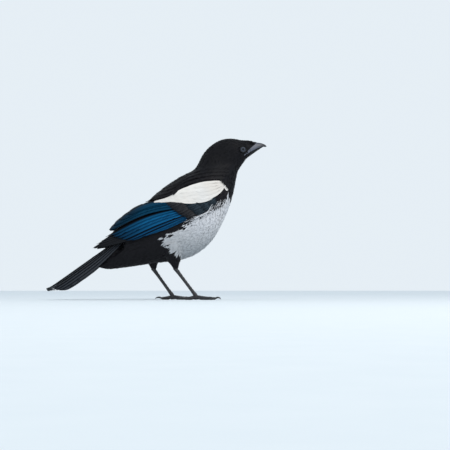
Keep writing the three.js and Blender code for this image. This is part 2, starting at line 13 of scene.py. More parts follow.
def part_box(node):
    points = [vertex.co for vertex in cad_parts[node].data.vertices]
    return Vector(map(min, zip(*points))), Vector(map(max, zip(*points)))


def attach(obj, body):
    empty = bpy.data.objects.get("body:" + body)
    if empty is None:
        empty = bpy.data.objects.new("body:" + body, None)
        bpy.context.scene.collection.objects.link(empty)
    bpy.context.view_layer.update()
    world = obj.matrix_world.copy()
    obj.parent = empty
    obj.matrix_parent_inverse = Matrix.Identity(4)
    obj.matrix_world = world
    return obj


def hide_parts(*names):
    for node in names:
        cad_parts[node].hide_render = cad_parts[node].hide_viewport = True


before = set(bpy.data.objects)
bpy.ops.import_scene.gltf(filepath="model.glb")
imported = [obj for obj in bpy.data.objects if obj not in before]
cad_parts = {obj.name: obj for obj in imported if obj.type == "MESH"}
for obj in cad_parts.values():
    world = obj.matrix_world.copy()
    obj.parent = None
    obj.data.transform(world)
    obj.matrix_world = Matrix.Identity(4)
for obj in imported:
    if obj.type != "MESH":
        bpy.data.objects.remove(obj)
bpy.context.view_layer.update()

# Where the bird stands. Its own drawing has X towards the bill and Z up from the soles, and the
# solids are the same drawing moved along X, which the middle of an eye gives back.
EYE_PLACE = (83.7, 201.4)
eye_low, eye_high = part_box("eye_right")
eye_middle = (eye_low + eye_high) / 2
DRAWING = Vector((eye_middle.x - EYE_PLACE[0] / 1000, 0, eye_middle.z - EYE_PLACE[1] / 1000))


def spot(x, y, z):
    return Vector((x, y, z)) / 1000 + DRAWING


def spots(points):
    return np.asarray(points, float) / 1000 + np.array(DRAWING)


def drawn(points):
    return (np.asarray(points, float) - np.array(DRAWING)) * 1000


# Camera. The bird is seen from its right side, a very little from behind its shoulder and from
# just above the floor, so that the view rises slightly to the head.
VIEW_TURN = math.radians(-3)
VIEW_RISE = math.radians(-3)
VIEW_DISTANCE = 1.65
FRAME_WIDTH = 0.607
SENSOR = 36
frame_centre = spot(60.75, 0, 100.6)
towards_camera = Vector(
    (
        math.sin(VIEW_TURN) * math.cos(VIEW_RISE), -math.cos(VIEW_TURN) * math.cos(VIEW_RISE),
        math.sin(VIEW_RISE)
    )
)
camera = bpy.data.objects.new("camera", bpy.data.cameras.new("camera"))
camera.data.sensor_width = SENSOR
camera.data.lens = SENSOR * VIEW_DISTANCE / FRAME_WIDTH
camera.data.clip_end = 30
camera.location = frame_centre + towards_camera * VIEW_DISTANCE
camera.rotation_euler = (-towards_camera).to_track_quat("-Z", "Y").to_euler()
bpy.context.scene.collection.objects.link(camera)
bpy.context.scene.camera = camera
bpy.context.scene.view_settings.view_transform = "Standard"


# Floor. A wide round sheet of pale matt paper, under a plain pale sky.
def linear(hex_colour, alpha=1.0):
    parts = [int(hex_colour[i : i + 2], 16) / 255 for i in (1, 3, 5)]
    return (*[p / 12.92 if p <= 0.04045 else ((p + 0.055) / 1.055) ** 2.4 for p in parts], alpha)


def add_node(material, kind, inputs=None, **settings):
    """A node with its settings, and each input set to a value or linked from a socket."""
    made = material.node_tree.nodes.new(kind)
    for name, value in settings.items():
        setattr(made, name, value)
    for socket, value in (inputs or {}).items():
        if isinstance(value, bpy.types.NodeSocket):
            material.node_tree.links.new(value, made.inputs[socket])
        else:
            made.inputs[socket].default_value = value
    return made


def new_material(name):
    """A material with one shader, which is returned with it."""
    made = bpy.data.materials.new(name)
    made.use_nodes = True
    return made, made.node_tree.nodes["Principled BSDF"]


FLOOR_REACH = 9.0
paper_sheet = bmesh.new()
bmesh.ops.create_circle(paper_sheet, segments=96, radius=FLOOR_REACH, cap_ends=True)
floor_mesh = bpy.data.meshes.new("floor")
paper_sheet.to_mesh(floor_mesh)
paper_sheet.free()
floor = bpy.data.objects.new("floor", floor_mesh)
bpy.context.scene.collection.objects.link(floor)
paper, paper_shader = new_material("matt_background_paper")
paper_grain = add_node(
    paper, "ShaderNodeTexNoise",
    {"Vector": add_node(paper, "ShaderNodeTexCoord").outputs["Object"], "Scale": 60.0}
)
paper_colour = add_node(
    paper, "ShaderNodeMix",
    {"Factor": paper_grain.outputs["Fac"], "A": linear("#e2e9ee"), "B": linear("#e7edf1")},
    data_type="RGBA"
)
paper.node_tree.links.new(paper_colour.outputs["Result"], paper_shader.inputs["Base Color"])
paper_shader.inputs["Roughness"].default_value = 0.9
paper_shader.inputs["Specular IOR Level"].default_value = 0.1
floor_mesh.materials.append(paper)

# Light. An even, slightly cool sky, and one soft lamp high in front of the bird on the bill's side.
world = bpy.data.worlds.new("sky")
world.use_nodes = True
world.node_tree.nodes["Background"].inputs["Color"].default_value = linear("#ebf4fb")
world.node_tree.nodes["Background"].inputs["Strength"].default_value = 0.95
bpy.context.scene.world = world


key_light = bpy.data.lights.new("key_lamp", "AREA")
key_light.shape = "DISK"
key_light.energy = 9
key_light.size = 0.3
key_light.color = linear("#fffaf2")[:3]
key_lamp = bpy.data.objects.new("key_lamp", key_light)
key_lamp.location = (0.7, -1.3, 1.3)
aim = spot(20, 0, 110) - key_lamp.location
key_lamp.rotation_euler = aim.to_track_quat("-Z", "Y").to_euler()
bpy.context.scene.collection.objects.link(key_lamp)


# Skin. The body under the plumage, one skin made from the solids of the head, neck, trunk, root
# of the tail and thighs, drawn in by the depth of the coat that lies on it.
FLESH = ["head", "neck", "torso", "tail_base", "thigh_right", "thigh_left"]
SKIN_GRAIN = 0.0013
CLOSE_GAPS = 0.00028
COAT_DEPTH = [(0, 0.5), (30, 0.9), (60, 1.5), (110, 2.0), (200, 2.2), (300, 1.6)]
THIGH_DEPTH = 0.9
# The line down the middle of the body from the bill to the tail, which the feathers lie along
BODY_LINE = [
    (104, 207), (88, 205.5), (72, 202), (58, 190), (50, 168), (39, 138), (15, 110), (-18, 90),
    (-58, 74), (-112, 48), (-135, 36),
]


def catmull(points, count):
    """Evenly numbered places on the smooth curve through points."""
    points = np.asarray(points, float)
    ends = np.vstack([2 * points[0] - points[1], points, 2 * points[-1] - points[-2]])
    at = np.linspace(0, len(points) - 1, count)
    i = np.minimum(at.astype(int), len(points) - 2)
    t = (at - i)[:, None]
    a, b, c, d = ends[i], ends[i + 1], ends[i + 2], ends[i + 3]
    return 0.5 * (
        2 * b + (c - a) * t + (2 * a - 5 * b + 4 * c - d) * t**2 + (3 * b - a - 3 * c + d) * t**3
    )


body_line = catmull(BODY_LINE, 160)
body_run = np.gradient(body_line, axis=0)
body_run /= np.linalg.norm(body_run, axis=1)[:, None]
line_length = np.concatenate([[0], np.cumsum(np.linalg.norm(np.diff(body_line, axis=0), axis=1))])


def along_body(points):
    """For drawn points: how far down the body's line each lies, and its nearest place on it."""
    away = ((points[:, None, [0, 2]] - body_line[None]) ** 2).sum(2)
    nearest = away.argmin(1)
    return line_length[nearest], nearest


LEGS = {
    "right": {
        "side": -1, "hip": (-12, -19, 76), "ankle": (-5.2, -17.5, 40), "foot": (21, -20.5, 5.2)
    },
    "left": {"side": 1, "hip": (-40, 19, 76), "ankle": (-34.6, 17.5, 40), "foot": (-9.5, 20.5, 5.2)}
}


def thigh_share(points):
    """How much of a drawn point belongs to a thigh, from 0 to 1, and that thigh's direction."""
    share = np.zeros(len(points))
    heading = np.zeros((len(points), 3))
    for leg in LEGS.values():
        hip, ankle = np.array(leg["hip"], float), np.array(leg["ankle"], float)
        run = ankle - hip
        t = np.clip(((points - hip) @ run) / (run @ run), 0, 1)
        reach = np.linalg.norm(points - hip - t[:, None] * run, axis=1)
        near = np.clip((12 - reach) / 3, 0, 1) * np.clip((t - 0.3) / 0.3, 0, 1)
        stronger = near > share
        share[stronger] = near[stronger]
        heading[stronger] = run / np.linalg.norm(run)
    return share, heading


def lay(points, normals):
    """The direction that plumage lies in at drawn points, in the skin's own plane."""
    _, nearest = along_body(points)
    run = np.zeros((len(points), 3))
    run[:, [0, 2]] = body_run[nearest]
    share, heading = thigh_share(points)
    run = run * (1 - share[:, None]) + heading * share[:, None]
    run -= (run * normals).sum(1)[:, None] * normals
    return run / np.maximum(np.linalg.norm(run, axis=1), 1e-6)[:, None]


def mesh_object(name, mesh, material, slot, *nodes):
    """Links a finished mesh, rides it on the body and hides the solids it stands for."""
    made = bpy.data.objects.new(name, mesh)
    bpy.context.scene.collection.objects.link(made)
    if material:
        mesh.materials.append(material)
    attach(made, "root")
    if nodes:
        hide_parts(*nodes)
    return made


def remeshed(nodes, grain, swell, smoothing):
    """One smooth closed mesh over copies of CAD nodes, swollen first so that their gaps close."""
    solid = bmesh.new()
    for node in nodes:
        solid.from_mesh(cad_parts[node].data)
    bmesh.ops.remove_doubles(solid, verts=solid.verts, dist=1e-6)
    solid.normal_update()
    for v in solid.verts:
        v.co += v.normal * swell
    mesh = bpy.data.meshes.new("copy")
    solid.to_mesh(mesh)
    solid.free()
    copy = bpy.data.objects.new("copy", mesh)
    bpy.context.scene.collection.objects.link(copy)
    grid = copy.modifiers.new("grid", "REMESH")
    grid.mode = "VOXEL"
    grid.voxel_size = grain
    ease = copy.modifiers.new("ease", "SMOOTH")
    ease.factor = 0.5
    ease.iterations = smoothing
    graph = bpy.context.evaluated_depsgraph_get()
    made = bpy.data.meshes.new_from_object(copy.evaluated_get(graph))
    bpy.data.objects.remove(copy)
    return made


# Where the plumage is white, on the side view. Black meets it in front along the bib's edge, and
# behind along the edge of the thigh and vent; under the wing's edge the black is painted shade.
BIB_EDGE = [(20, 182), (48, 160), (57, 154), (64.5, 146.5), (69.8, 134.5), (74, 120)]
VENT_EDGE = [
    (-40, 90), (-16, 82.5), (-11, 74), (-6.5, 67.6), (0, 63.5), (5.6, 60.7), (9, 53), (20, 38)
]
WING_SHADE = [
    (-30, 76), (-16, 83.5), (4, 95), (18, 107), (28, 114), (43, 123.5), (53, 130), (61, 137),
    (63.5, 147), (65.5, 157), (67, 200),
]


def whiteness(points):
    """1 on the white belly and flanks of drawn points and 0 on the black, with narrow edges; the
    black under the wing's edge is painted shade.
    """
    x, z = points[:, 0], points[:, 2]
    bib, vent, shade = np.array(BIB_EDGE), np.array(VENT_EDGE), np.array(WING_SHADE)
    below_bib = np.interp(x, bib[:, 0], bib[:, 1]) - z
    above_vent = z - np.interp(x, vent[:, 0], vent[:, 1])
    # the body's feathers below the wing's edge are made black as painted shade of the folded wing
    below_wing = (np.interp(x, shade[:, 0], shade[:, 1]) - z) / 3
    return np.clip(np.minimum(np.minimum(below_bib, above_vent), below_wing) / 4 + 0.5, 0, 1)


skin_mesh = remeshed(FLESH, SKIN_GRAIN, CLOSE_GAPS, 5)
skin_mesh.name = "skin"
count = len(skin_mesh.vertices)
skin_points = np.empty(count * 3)
skin_mesh.vertices.foreach_get("co", skin_points)
skin_points = skin_points.reshape(-1, 3)
skin_normals = np.empty(count * 3)
skin_mesh.vertices.foreach_get("normal", skin_normals)
skin_normals = skin_normals.reshape(-1, 3)
full_points = drawn(skin_points)
down_line, _ = along_body(full_points)
depths = np.interp(down_line, *np.array(COAT_DEPTH).T)
thighs, _ = thigh_share(full_points)
depths = depths * (1 - thighs) + THIGH_DEPTH * thighs + CLOSE_GAPS * 1000
skin_points = skin_points - skin_normals * depths[:, None] / 1000
skin_mesh.vertices.foreach_set("co", skin_points.ravel())
skin_mesh.update()
skin_mesh.polygons.foreach_set("use_smooth", [True] * len(skin_mesh.polygons))
white_share = skin_mesh.attributes.new("White", "FLOAT", "POINT")
white_share.data.foreach_set("value", whiteness(full_points))

# Bare skin and down: matt, with a fine fluff that shows between the feathers.
down, down_shader = new_material("down_covered_skin")
DOWN_GRAIN = 1.2 # millimetres between tufts of down
fluff = add_node(
    down, "ShaderNodeTexNoise",
    {"Vector": add_node(down, "ShaderNodeTexCoord").outputs["Object"], "Scale": 1000 / DOWN_GRAIN}
)
dark_down = add_node(
    down, "ShaderNodeMix",
    {"Factor": fluff.outputs["Fac"], "A": linear("#0b0a0d"), "B": linear("#19181d")},
    data_type="RGBA"
)
pale_down = add_node(
    down, "ShaderNodeMix",
    {"Factor": fluff.outputs["Fac"], "A": linear("#a9a9ab"), "B": linear("#d2d1d0")},
    data_type="RGBA"
)
marking = add_node(down, "ShaderNodeAttribute", attribute_name="White")
down_colour = add_node(
    down, "ShaderNodeMix",
    {
        "Factor": marking.outputs["Fac"], "A": dark_down.outputs["Result"],
        "B": pale_down.outputs["Result"]
    },
    data_type="RGBA"
)
down_shader.inputs["Roughness"].default_value = 0.95
down_shader.inputs["Specular IOR Level"].default_value = 0.15
down.node_tree.links.new(down_colour.outputs["Result"], down_shader.inputs["Base Color"])
mesh_object("skin", skin_mesh, down, "black_feathers", *FLESH)


# Coat. Small contour feathers rooted all over the skin, each a thin curved vane that lies back
# along the body over the ones behind it. They are shortest on the face and longest on the belly,
# and the tips of the body's feathers are loose, so their ends part into three.
rng = np.random.default_rng(7)
# For a place down the body's line: feather length, its width and the space between roots
COAT_LENGTH = [(0, 2.4), (16, 3.2), (40, 5), (70, 7.5), (110, 11), (170, 13), (230, 15), (330, 19)]
COAT_WIDTH = [(0, 0.9), (16, 1.1), (40, 1.6), (70, 2.2), (110, 2.8), (170, 3.0), (330, 3.6)]
COAT_SPACE = [(0, 0.95), (16, 1.0), (40, 1.25), (70, 1.5), (110, 1.75), (170, 1.85), (330, 2.0)]
THIGH_COAT = {"length": 7, "width": 1.5, "space": 1.3}
SPINE_STEPS = 4
TUFT_SIZE = 0.003
# Roots tried for each one kept, and a small feather's breadth from its root to its tip
ROOTS_TRIED = 3.2
CONTOUR_OUTLINE = ([0, 0.2, 0.55, 0.85, 1], [0.35, 0.75, 1, 0.85, 0.42])

skin_mesh.calc_loop_triangles()
skin_tree = BVHTree.FromPolygons(
    [Vector(p) for p in skin_points], [tuple(t.vertices) for t in skin_mesh.loop_triangles]
)
triangles = np.array([tuple(t.vertices) for t in skin_mesh.loop_triangles])
corner_a, corner_b, corner_c = (skin_points[triangles[:, i]] for i in range(3))
face_areas = np.linalg.norm(np.cross(corner_b - corner_a, corner_c - corner_a), axis=1) / 2
normal_size = np.linalg.norm(skin_normals, axis=1)[:, None]
smooth_normals = (skin_normals / np.maximum(normal_size, 1e-9))[triangles].mean(1)


def unit(vectors):
    return vectors / np.maximum(np.linalg.norm(vectors, axis=-1), 1e-9)[..., None]


smooth_normals = unit(smooth_normals)


def on_skin(points):
    """For points in metres: the nearest places on the skin and its outward direction there."""
    places = np.empty_like(points)
    faces = np.empty(len(points), int)
    for i, point in enumerate(points):
        place, _, face, _ = skin_tree.find_nearest(point)
        places[i] = place
        faces[i] = face
    return places, smooth_normals[faces]


def vane_template(rows, columns, forked=False):
    """A closed vane: x along it from 0 to 1, y across from -1 to 1, z 1 above and -1 below."""
    sheet = bmesh.new()
    bmesh.ops.create_grid(sheet, x_segments=rows, y_segments=columns, size=0.5)
    for v in sheet.verts:
        v.co = (v.co.x + 0.5, v.co.y * 2, 0 if v.is_boundary else 1)
    under = bmesh.ops.duplicate(sheet, geom=sheet.verts[:] + sheet.edges[:] + sheet.faces[:])
    for item in under["geom"]:
        if isinstance(item, bmesh.types.BMVert):
            item.co.z = -item.co.z
    bmesh.ops.reverse_faces(
        sheet, faces=[item for item in under["geom"] if isinstance(item, bmesh.types.BMFace)]
    )
    bmesh.ops.remove_doubles(sheet, verts=sheet.verts, dist=1e-4)
    # a corner's face has one raised point, and is split through it so that it isn't folded flat
    for face in sheet.faces[:]:
        corners = face.verts[:]
        raised = [i for i, v in enumerate(corners) if abs(v.co.z) > 0.5]
        if len(raised) == 1:
            bmesh.utils.face_split(face, corners[raised[0]], corners[(raised[0] + 2) % 4])
    bmesh.ops.triangulate(sheet, faces=sheet.faces)
    sheet.verts.index_update()
    form = np.array([v.co[:] for v in sheet.verts])
    if forked:
        # the free end is drawn out into three points with notches between
        column = np.round((form[:, 1] + 1) / 2 * columns).astype(int)
        end = form[:, 0] > 0.999
        form[end & (column % 2 == 1), 0] = 0.78
        form[end & ((column == 0) | (column == columns)), 0] = 0.9
    faces = np.array([[v.index for v in face.verts] for face in sheet.faces])
    sheet.free()
    return form, faces


def numbered_mesh(name, points, faces, marks, normals=None):
    """A smooth mesh of closed shells from arrays, its faces outwards, with marks at each point."""
    first, second, third = (points[faces[:, k]] - points[0] for k in (0, 1, 2))
    if (first * np.cross(second, third)).sum() < 0:
        faces = faces[:, ::-1]
    mesh = bpy.data.meshes.new(name)
    mesh.vertices.add(len(points))
    mesh.vertices.foreach_set("co", np.ascontiguousarray(points, np.float32).ravel())
    sides = faces.shape[1]
    mesh.loops.add(faces.size)
    mesh.loops.foreach_set("vertex_index", faces.astype(np.int32).ravel())
    mesh.polygons.add(len(faces))
    mesh.polygons.foreach_set("loop_start", np.arange(0, faces.size, sides, dtype=np.int32))
    mesh.update(calc_edges=True)
    mesh.polygons.foreach_set("use_smooth", [True] * len(mesh.polygons))
    for mark, values in marks.items():
        made = mesh.attributes.new(mark, "FLOAT", "POINT")
        made.data.foreach_set("value", np.ascontiguousarray(values, np.float32).ravel())
    if normals is not None:
        mesh.normals_split_custom_set_from_vertices(normals)
    return mesh


def add_patches(mesh, at, offsets):
    """The map the finish is baked on: a small patch for each vane at its root's place."""
    layer = mesh.uv_layers.new(name="OFBake")
    corners = np.empty(len(mesh.loops), np.int32)
    mesh.loops.foreach_get("vertex_index", corners)
    layer.data.foreach_set("uv", (at + offsets)[corners].astype(np.float32).ravel())


def unwrapped(points):
    """Where drawn points of the skin lie on its unwrap: down the body, and round it."""
    down_body, nearest = along_body(points)
    middle = body_line[nearest]
    run = body_run[nearest]
    up = (points[:, 0] - middle[:, 0]) * -run[:, 1] + (points[:, 2] - middle[:, 1]) * run[:, 0]
    round_it = np.arctan2(points[:, 1], -up) / math.tau + 0.5
    share, _ = thigh_share(points)
    u = 0.01 + 0.93 * down_body / line_length[-1]
    u = np.where(share > 0.5, 0.955 + 0.03 * (points[:, 2] - 38) / 40, u)
    return np.stack([np.clip(u, 0.01, 0.985), 0.01 + 0.975 * round_it], axis=1)


def scatter(spacing_of):
    """Roots spread evenly over the skin, as the spacing at each place asks."""
    middle = drawn((corner_a + corner_b + corner_c) / 3)
    wanted = face_areas * 1e6 / spacing_of(middle) ** 2 * ROOTS_TRIED
    tries = rng.poisson(wanted)
    chosen = np.repeat(np.arange(len(triangles)), tries)
    a, b = rng.random(len(chosen)), rng.random(len(chosen))
    flip = a + b > 1
    a[flip], b[flip] = 1 - a[flip], 1 - b[flip]
    a, b = a[:, None], b[:, None]
    points = corner_a[chosen] * (1 - a - b) + corner_b[chosen] * a + corner_c[chosen] * b
    order = rng.permutation(len(points))
    points, chosen = points[order], chosen[order]
    spacing = spacing_of(drawn(points)) / 1000
    tree = KDTree(len(points))
    for i, point in enumerate(points):
        tree.insert(point, i)
    tree.balance()
    taken = np.zeros(len(points), bool)
    kept = []
    for i, point in enumerate(points):
        if taken[i]:
            continue
        kept.append(i)
        for _, j, _ in tree.find_range(point, spacing[i]):
            taken[j] = True
    return points[kept], smooth_normals[chosen[kept]]


def by_place(table, points):
    down_body, _ = along_body(points)
    return np.interp(down_body, *np.array(table).T)


def root_space(points):
    share, _ = thigh_share(points)
    return by_place(COAT_SPACE, points) * (1 - share) + THIGH_COAT["space"] * share


# The reach of the bare ring round each eye, and the edge of the face's feathers against the bill,
# from the gape up to the forehead
BARE_ROUND_EYE = 4.5
FACE_EDGE = [(84.6, 191), (86.4, 193.8), (90.5, 197.6), (93.6, 201), (94.5, 206), (95, 214)]


def is_bare(points):
    """Places with no feathers: in front of the face's edge and on the eyes."""
    edge = np.array(FACE_EDGE)
    beyond = points[:, 0] > np.interp(points[:, 2], edge[:, 1], edge[:, 0])
    on_bill = beyond & (points[:, 2] > edge[0, 1]) & (points[:, 0] > 84)
    below = (points[:, 0] > 90) & (points[:, 2] < 199)
    eye = np.hypot(points[:, 0] - EYE_PLACE[0], points[:, 2] - EYE_PLACE[1]) < BARE_ROUND_EYE
    return (eye & (np.abs(points[:, 1]) > 5)) | (on_bill & ~below) | (points[:, 0] > 96)


def march(roots, normals, length, swing):
    """The spines of feathers that lie back over the skin from their roots, and its directions."""
    step = length[:, None] / SPINE_STEPS / 1000
    heading = lay(drawn(roots), normals)
    turn = rng.normal(0, swing, len(roots))[:, None]
    heading = heading * np.cos(turn) + np.cross(normals, heading) * np.sin(turn)
    spine = [roots]
    ups = [normals]
    places = roots
    for _ in range(SPINE_STEPS):
        places, here = on_skin(places + heading * step)
        flow = lay(drawn(places), here)
        flow = flow * np.cos(turn) + np.cross(here, flow) * np.sin(turn)
        heading = heading * 0.4 + flow * 0.6
        heading = unit(heading - (heading * here).sum(1)[:, None] * here)
        spine.append(places)
        ups.append(here)
    return np.stack(spine, 1), np.stack(ups, 1)


def vanes_on(spine, ups, width, height, form, roundness=0.35):
    """Vanes along spines, rising from under the skin at the root: points and their normals."""
    steps = spine.shape[1] - 1
    along = np.clip(form[:, 0], 0, 1) * steps
    low = np.minimum(along.astype(int), steps - 1)
    part = (along - low)[None, :, None]
    centre = spine[:, low] * (1 - part) + spine[:, low + 1] * part
    up = unit(ups[:, low] * (1 - part) + ups[:, low + 1] * part)
    run = unit(spine[:, low + 1] - spine[:, low])
    across = np.cross(up, run)
    t, s, face = form[:, 0], form[:, 1], form[:, 2]
    shape = np.interp(t, *CONTOUR_OUTLINE)
    half = width[:, None] / 2 * shape[None]
    tilt = rng.normal(0, 0.09, len(spine))[:, None]
    lift = -0.25 + (height[:, None] + 0.25) * t[None] ** 0.8
    lift = lift - 0.16 * width[:, None] * s[None] ** 2 * t[None] + tilt * half * s[None]
    lift = lift + face[None] * (0.05 + 0.03 * width[:, None]) * (1 - 0.6 * t[None])
    points = centre + across * (s[None] * half)[..., None] / 1000 + up * lift[..., None] / 1000
    bent = (s[None] * roundness + tilt * 0.5)[..., None]
    normals = unit(up + across * bent) * np.where(face < 0, -1, 1)[None, :, None]
    return points, normals


def coat_mesh(name, spine, ups, sizes, template):
    """The feathers of one piece of the coat, joined in a single mesh."""
    form, faces = template
    length, width, height = sizes
    points, normals = vanes_on(spine, ups, width, height, form)
    count, corners = len(spine), len(form)
    all_faces = faces[None] + (np.arange(count) * corners)[:, None, None]
    all_faces = all_faces.reshape(-1, faces.shape[1])
    marks = {
        "Tone": np.repeat(rng.random(count), corners),
        "Along": (form[None, :, 0] * length[:, None]).ravel(),
        "Across": (form[None, :, 1] * width[:, None] / 2).ravel(),
    }
    mesh = numbered_mesh(name, points.reshape(-1, 3), all_faces, marks, normals.reshape(-1, 3))
    at = np.repeat(unwrapped(drawn(spine[:, 0])), corners, axis=0)
    patch = np.stack([form[:, 0] - 0.5, form[:, 1] / 2], 1) * TUFT_SIZE
    add_patches(mesh, at, np.tile(patch, (count, 1)))
    return mesh


# Feather vanes are keratin barbs side by side, so each material is streaked along its barbs,
# which leave the shaft at a slant. The real barbs are 0.35 mm apart, drawn wider to show.
BARB_PITCH = 0.7
BARB_SLANT = 1.3


def barbs(material, pitch=BARB_PITCH, slant=BARB_SLANT):
    """Fine uneven streaks that follow the barbs, from 0 to 1, and each feather's own tone."""
    along = add_node(material, "ShaderNodeAttribute", attribute_name="Along")
    across = add_node(material, "ShaderNodeAttribute", attribute_name="Across")
    tone = add_node(material, "ShaderNodeAttribute", attribute_name="Tone")
    aside = add_node(material, "ShaderNodeMath", {0: across.outputs["Fac"]}, operation="ABSOLUTE")
    slanted = add_node(
        material, "ShaderNodeMath", {0: aside.outputs[0], 1: -slant, 2: along.outputs["Fac"]},
        operation="MULTIPLY_ADD"
    )
    line = add_node(
        material, "ShaderNodeMath", {0: slanted.outputs[0], 1: 1 / pitch}, operation="MULTIPLY"
    )
    apart = add_node(
        material, "ShaderNodeMath", {0: tone.outputs["Fac"], 1: 90.0}, operation="MULTIPLY"
    )
    side = add_node(material, "ShaderNodeMath", {0: across.outputs["Fac"]}, operation="SIGN")
    place = add_node(
        material, "ShaderNodeCombineXYZ",
        {"X": line.outputs[0], "Y": apart.outputs[0], "Z": side.outputs[0]}
    )
    noise = add_node(
        material, "ShaderNodeTexNoise",
        {"Vector": place.outputs[0], "Scale": 1.0, "Detail": 2.0, "Roughness": 0.6}
    )
    return noise.outputs["Fac"], tone.outputs["Fac"]


def feather_material(name, dark, light, ground, finish, bump=0.35, pitch=BARB_PITCH, low=None):
    """Keratin barbs in two near colours, with a slow change over the body towards ground.
    Where low is given, it is a colour of painted shade that feathers turn to from 100 to 60 mm over
    the floor."""
    made, shader = new_material(name)
    streaks, tone = barbs(made, pitch)
    spread = add_node(
        made, "ShaderNodeMapRange", {"Value": streaks, "From Min": 0.3, "From Max": 0.7}
    )
    shared = add_node(made, "ShaderNodeMath", {0: spread.outputs[0], 1: tone}, operation="ADD")
    halved = add_node(made, "ShaderNodeMath", {0: shared.outputs[0], 1: 0.5}, operation="MULTIPLY")
    own = add_node(
        made, "ShaderNodeMix", {"Factor": halved.outputs[0], "A": linear(dark), "B": linear(light)},
        data_type="RGBA"
    ).outputs["Result"]
    place = add_node(made, "ShaderNodeTexCoord").outputs["Object"]
    cloud = add_node(made, "ShaderNodeTexNoise", {"Vector": place, "Scale": 28.0, "Detail": 3.0})
    faded = add_node(
        made, "ShaderNodeMapRange",
        {"Value": cloud.outputs["Fac"], "From Min": 0.35, "From Max": 0.75, "To Max": 0.5}
    )
    colour = add_node(
        made, "ShaderNodeMix", {"Factor": faded.outputs[0], "A": own, "B": linear(ground)},
        data_type="RGBA"
    ).outputs["Result"]
    # painted shade: the feathers turn greyer towards the floor
    if low:
        height = add_node(made, "ShaderNodeSeparateXYZ", {0: place}).outputs["Z"]
        lower = add_node(
            made, "ShaderNodeMapRange",
            {"Value": height, "From Min": 0.112, "From Max": 0.062, "To Max": 0.85},
            interpolation_type="SMOOTHSTEP"
        )
        colour = add_node(
            made, "ShaderNodeMix", {"Factor": lower.outputs[0], "A": colour, "B": linear(low)},
            data_type="RGBA"
        ).outputs["Result"]
    made.node_tree.links.new(colour, shader.inputs["Base Color"])
    relief = add_node(
        made, "ShaderNodeBump", {"Height": streaks, "Strength": bump, "Distance": 0.0002}
    )
    made.node_tree.links.new(relief.outputs[0], shader.inputs["Normal"])
    for socket, value in finish.items():
        shader.inputs[socket].default_value = value
    return made


black_plumage = feather_material(
    "black_contour_feathers", "#060608", "#141319", "#0b0a10",
    {"Roughness": 0.5, "Specular IOR Level": 0.16, "Sheen Weight": 0.02, "Sheen Roughness": 0.4}
)
# the white coat greys to #a3a7ab low on the belly as painted shade
white_plumage = feather_material(
    "white_contour_feathers", "#c4c4c9", "#e6e6ea", "#d5d3d2",
    {"Roughness": 0.75, "Specular IOR Level": 0.2, "Sheen Weight": 0.05}, bump=0.2, low="#a3a7ab"
)

roots, root_normals = scatter(root_space)
root_places = drawn(roots)
clear = ~is_bare(root_places)
roots, root_normals, root_places = roots[clear], root_normals[clear], root_places[clear]
down_body, _ = along_body(root_places)
thighs, _ = thigh_share(root_places)
coat_length = by_place(COAT_LENGTH, root_places) * (1 - thighs) + THIGH_COAT["length"] * thighs
coat_width = by_place(COAT_WIDTH, root_places) * (1 - thighs) + THIGH_COAT["width"] * thighs
coat_height = by_place(COAT_DEPTH, root_places) * (1 - thighs) + THIGH_DEPTH * thighs
coat_length *= rng.uniform(0.85, 1.15, len(roots))
coat_height *= rng.uniform(0.92, 1.08, len(roots))
is_white = whiteness(root_places) > rng.uniform(0.15, 0.85, len(roots))
short_vane = vane_template(3, 2)
long_vane = vane_template(4, 4, forked=True)
on_back = (down_body >= 88) & ~is_white & (thighs < 0.5)
COAT_PIECES = [
    ("coat_head", (down_body < 42) & ~is_white, short_vane, False),
    ("coat_neck", (down_body >= 42) & (down_body < 88) & ~is_white, short_vane, False),
    ("coat_back_right", on_back & (root_places[:, 1] < 0), long_vane, False),
    ("coat_back_left", on_back & (root_places[:, 1] >= 0), long_vane, False),
    ("coat_thighs", (down_body >= 88) & ~is_white & (thighs >= 0.5), long_vane, False),
    ("coat_belly_right", is_white & (root_places[:, 1] < 0), long_vane, True),
    ("coat_belly_left", is_white & (root_places[:, 1] >= 0), long_vane, True),
]
for name, chosen, template, pale in COAT_PIECES:
    spine, ups = march(roots[chosen], root_normals[chosen], coat_length[chosen], 0.12)
    sizes = (coat_length[chosen], coat_width[chosen], coat_height[chosen])
    mesh = coat_mesh(name, spine, ups, sizes, template)
    material = white_plumage if pale else black_plumage
    mesh_object(name, mesh, material, "white_feathers" if pale else "black_feathers")


# Wings. Folded against the flanks, each built up as the real one is, from the flight feathers
# out through the coverts to the scapulars that fall over its upper edge.
def through(pairs, x):
    """A smooth value through pairs of place and value, eased from each to the next."""
    pairs = np.asarray(pairs, float)
    x = np.clip(np.asarray(x, float), pairs[0, 0], pairs[-1, 0])
    last = len(pairs) - 1
    start = np.clip(np.searchsorted(pairs[:, 0], x, side="right") - 1, 0, last - 1)
    end = start + 1
    before, after = np.maximum(start - 1, 0), np.minimum(end + 1, last)
    span = pairs[end, 0] - pairs[start, 0]
    m0 = (pairs[end, 1] - pairs[before, 1]) / (pairs[end, 0] - pairs[before, 0]) * span
    m1 = (pairs[after, 1] - pairs[start, 1]) / (pairs[after, 0] - pairs[start, 0]) * span
    t = (x - pairs[start, 0]) / span
    return (
        (2 * t**3 - 3 * t**2 + 1) * pairs[start, 1] + (t**3 - 2 * t**2 + t) * m0
        + (-2 * t**3 + 3 * t**2) * pairs[end, 1] + (t**3 - t**2) * m1
    )


def eased(low, high, x):
    t = np.clip((x - low) / (high - low), 0, 1)
    return t * t * (3 - 2 * t)


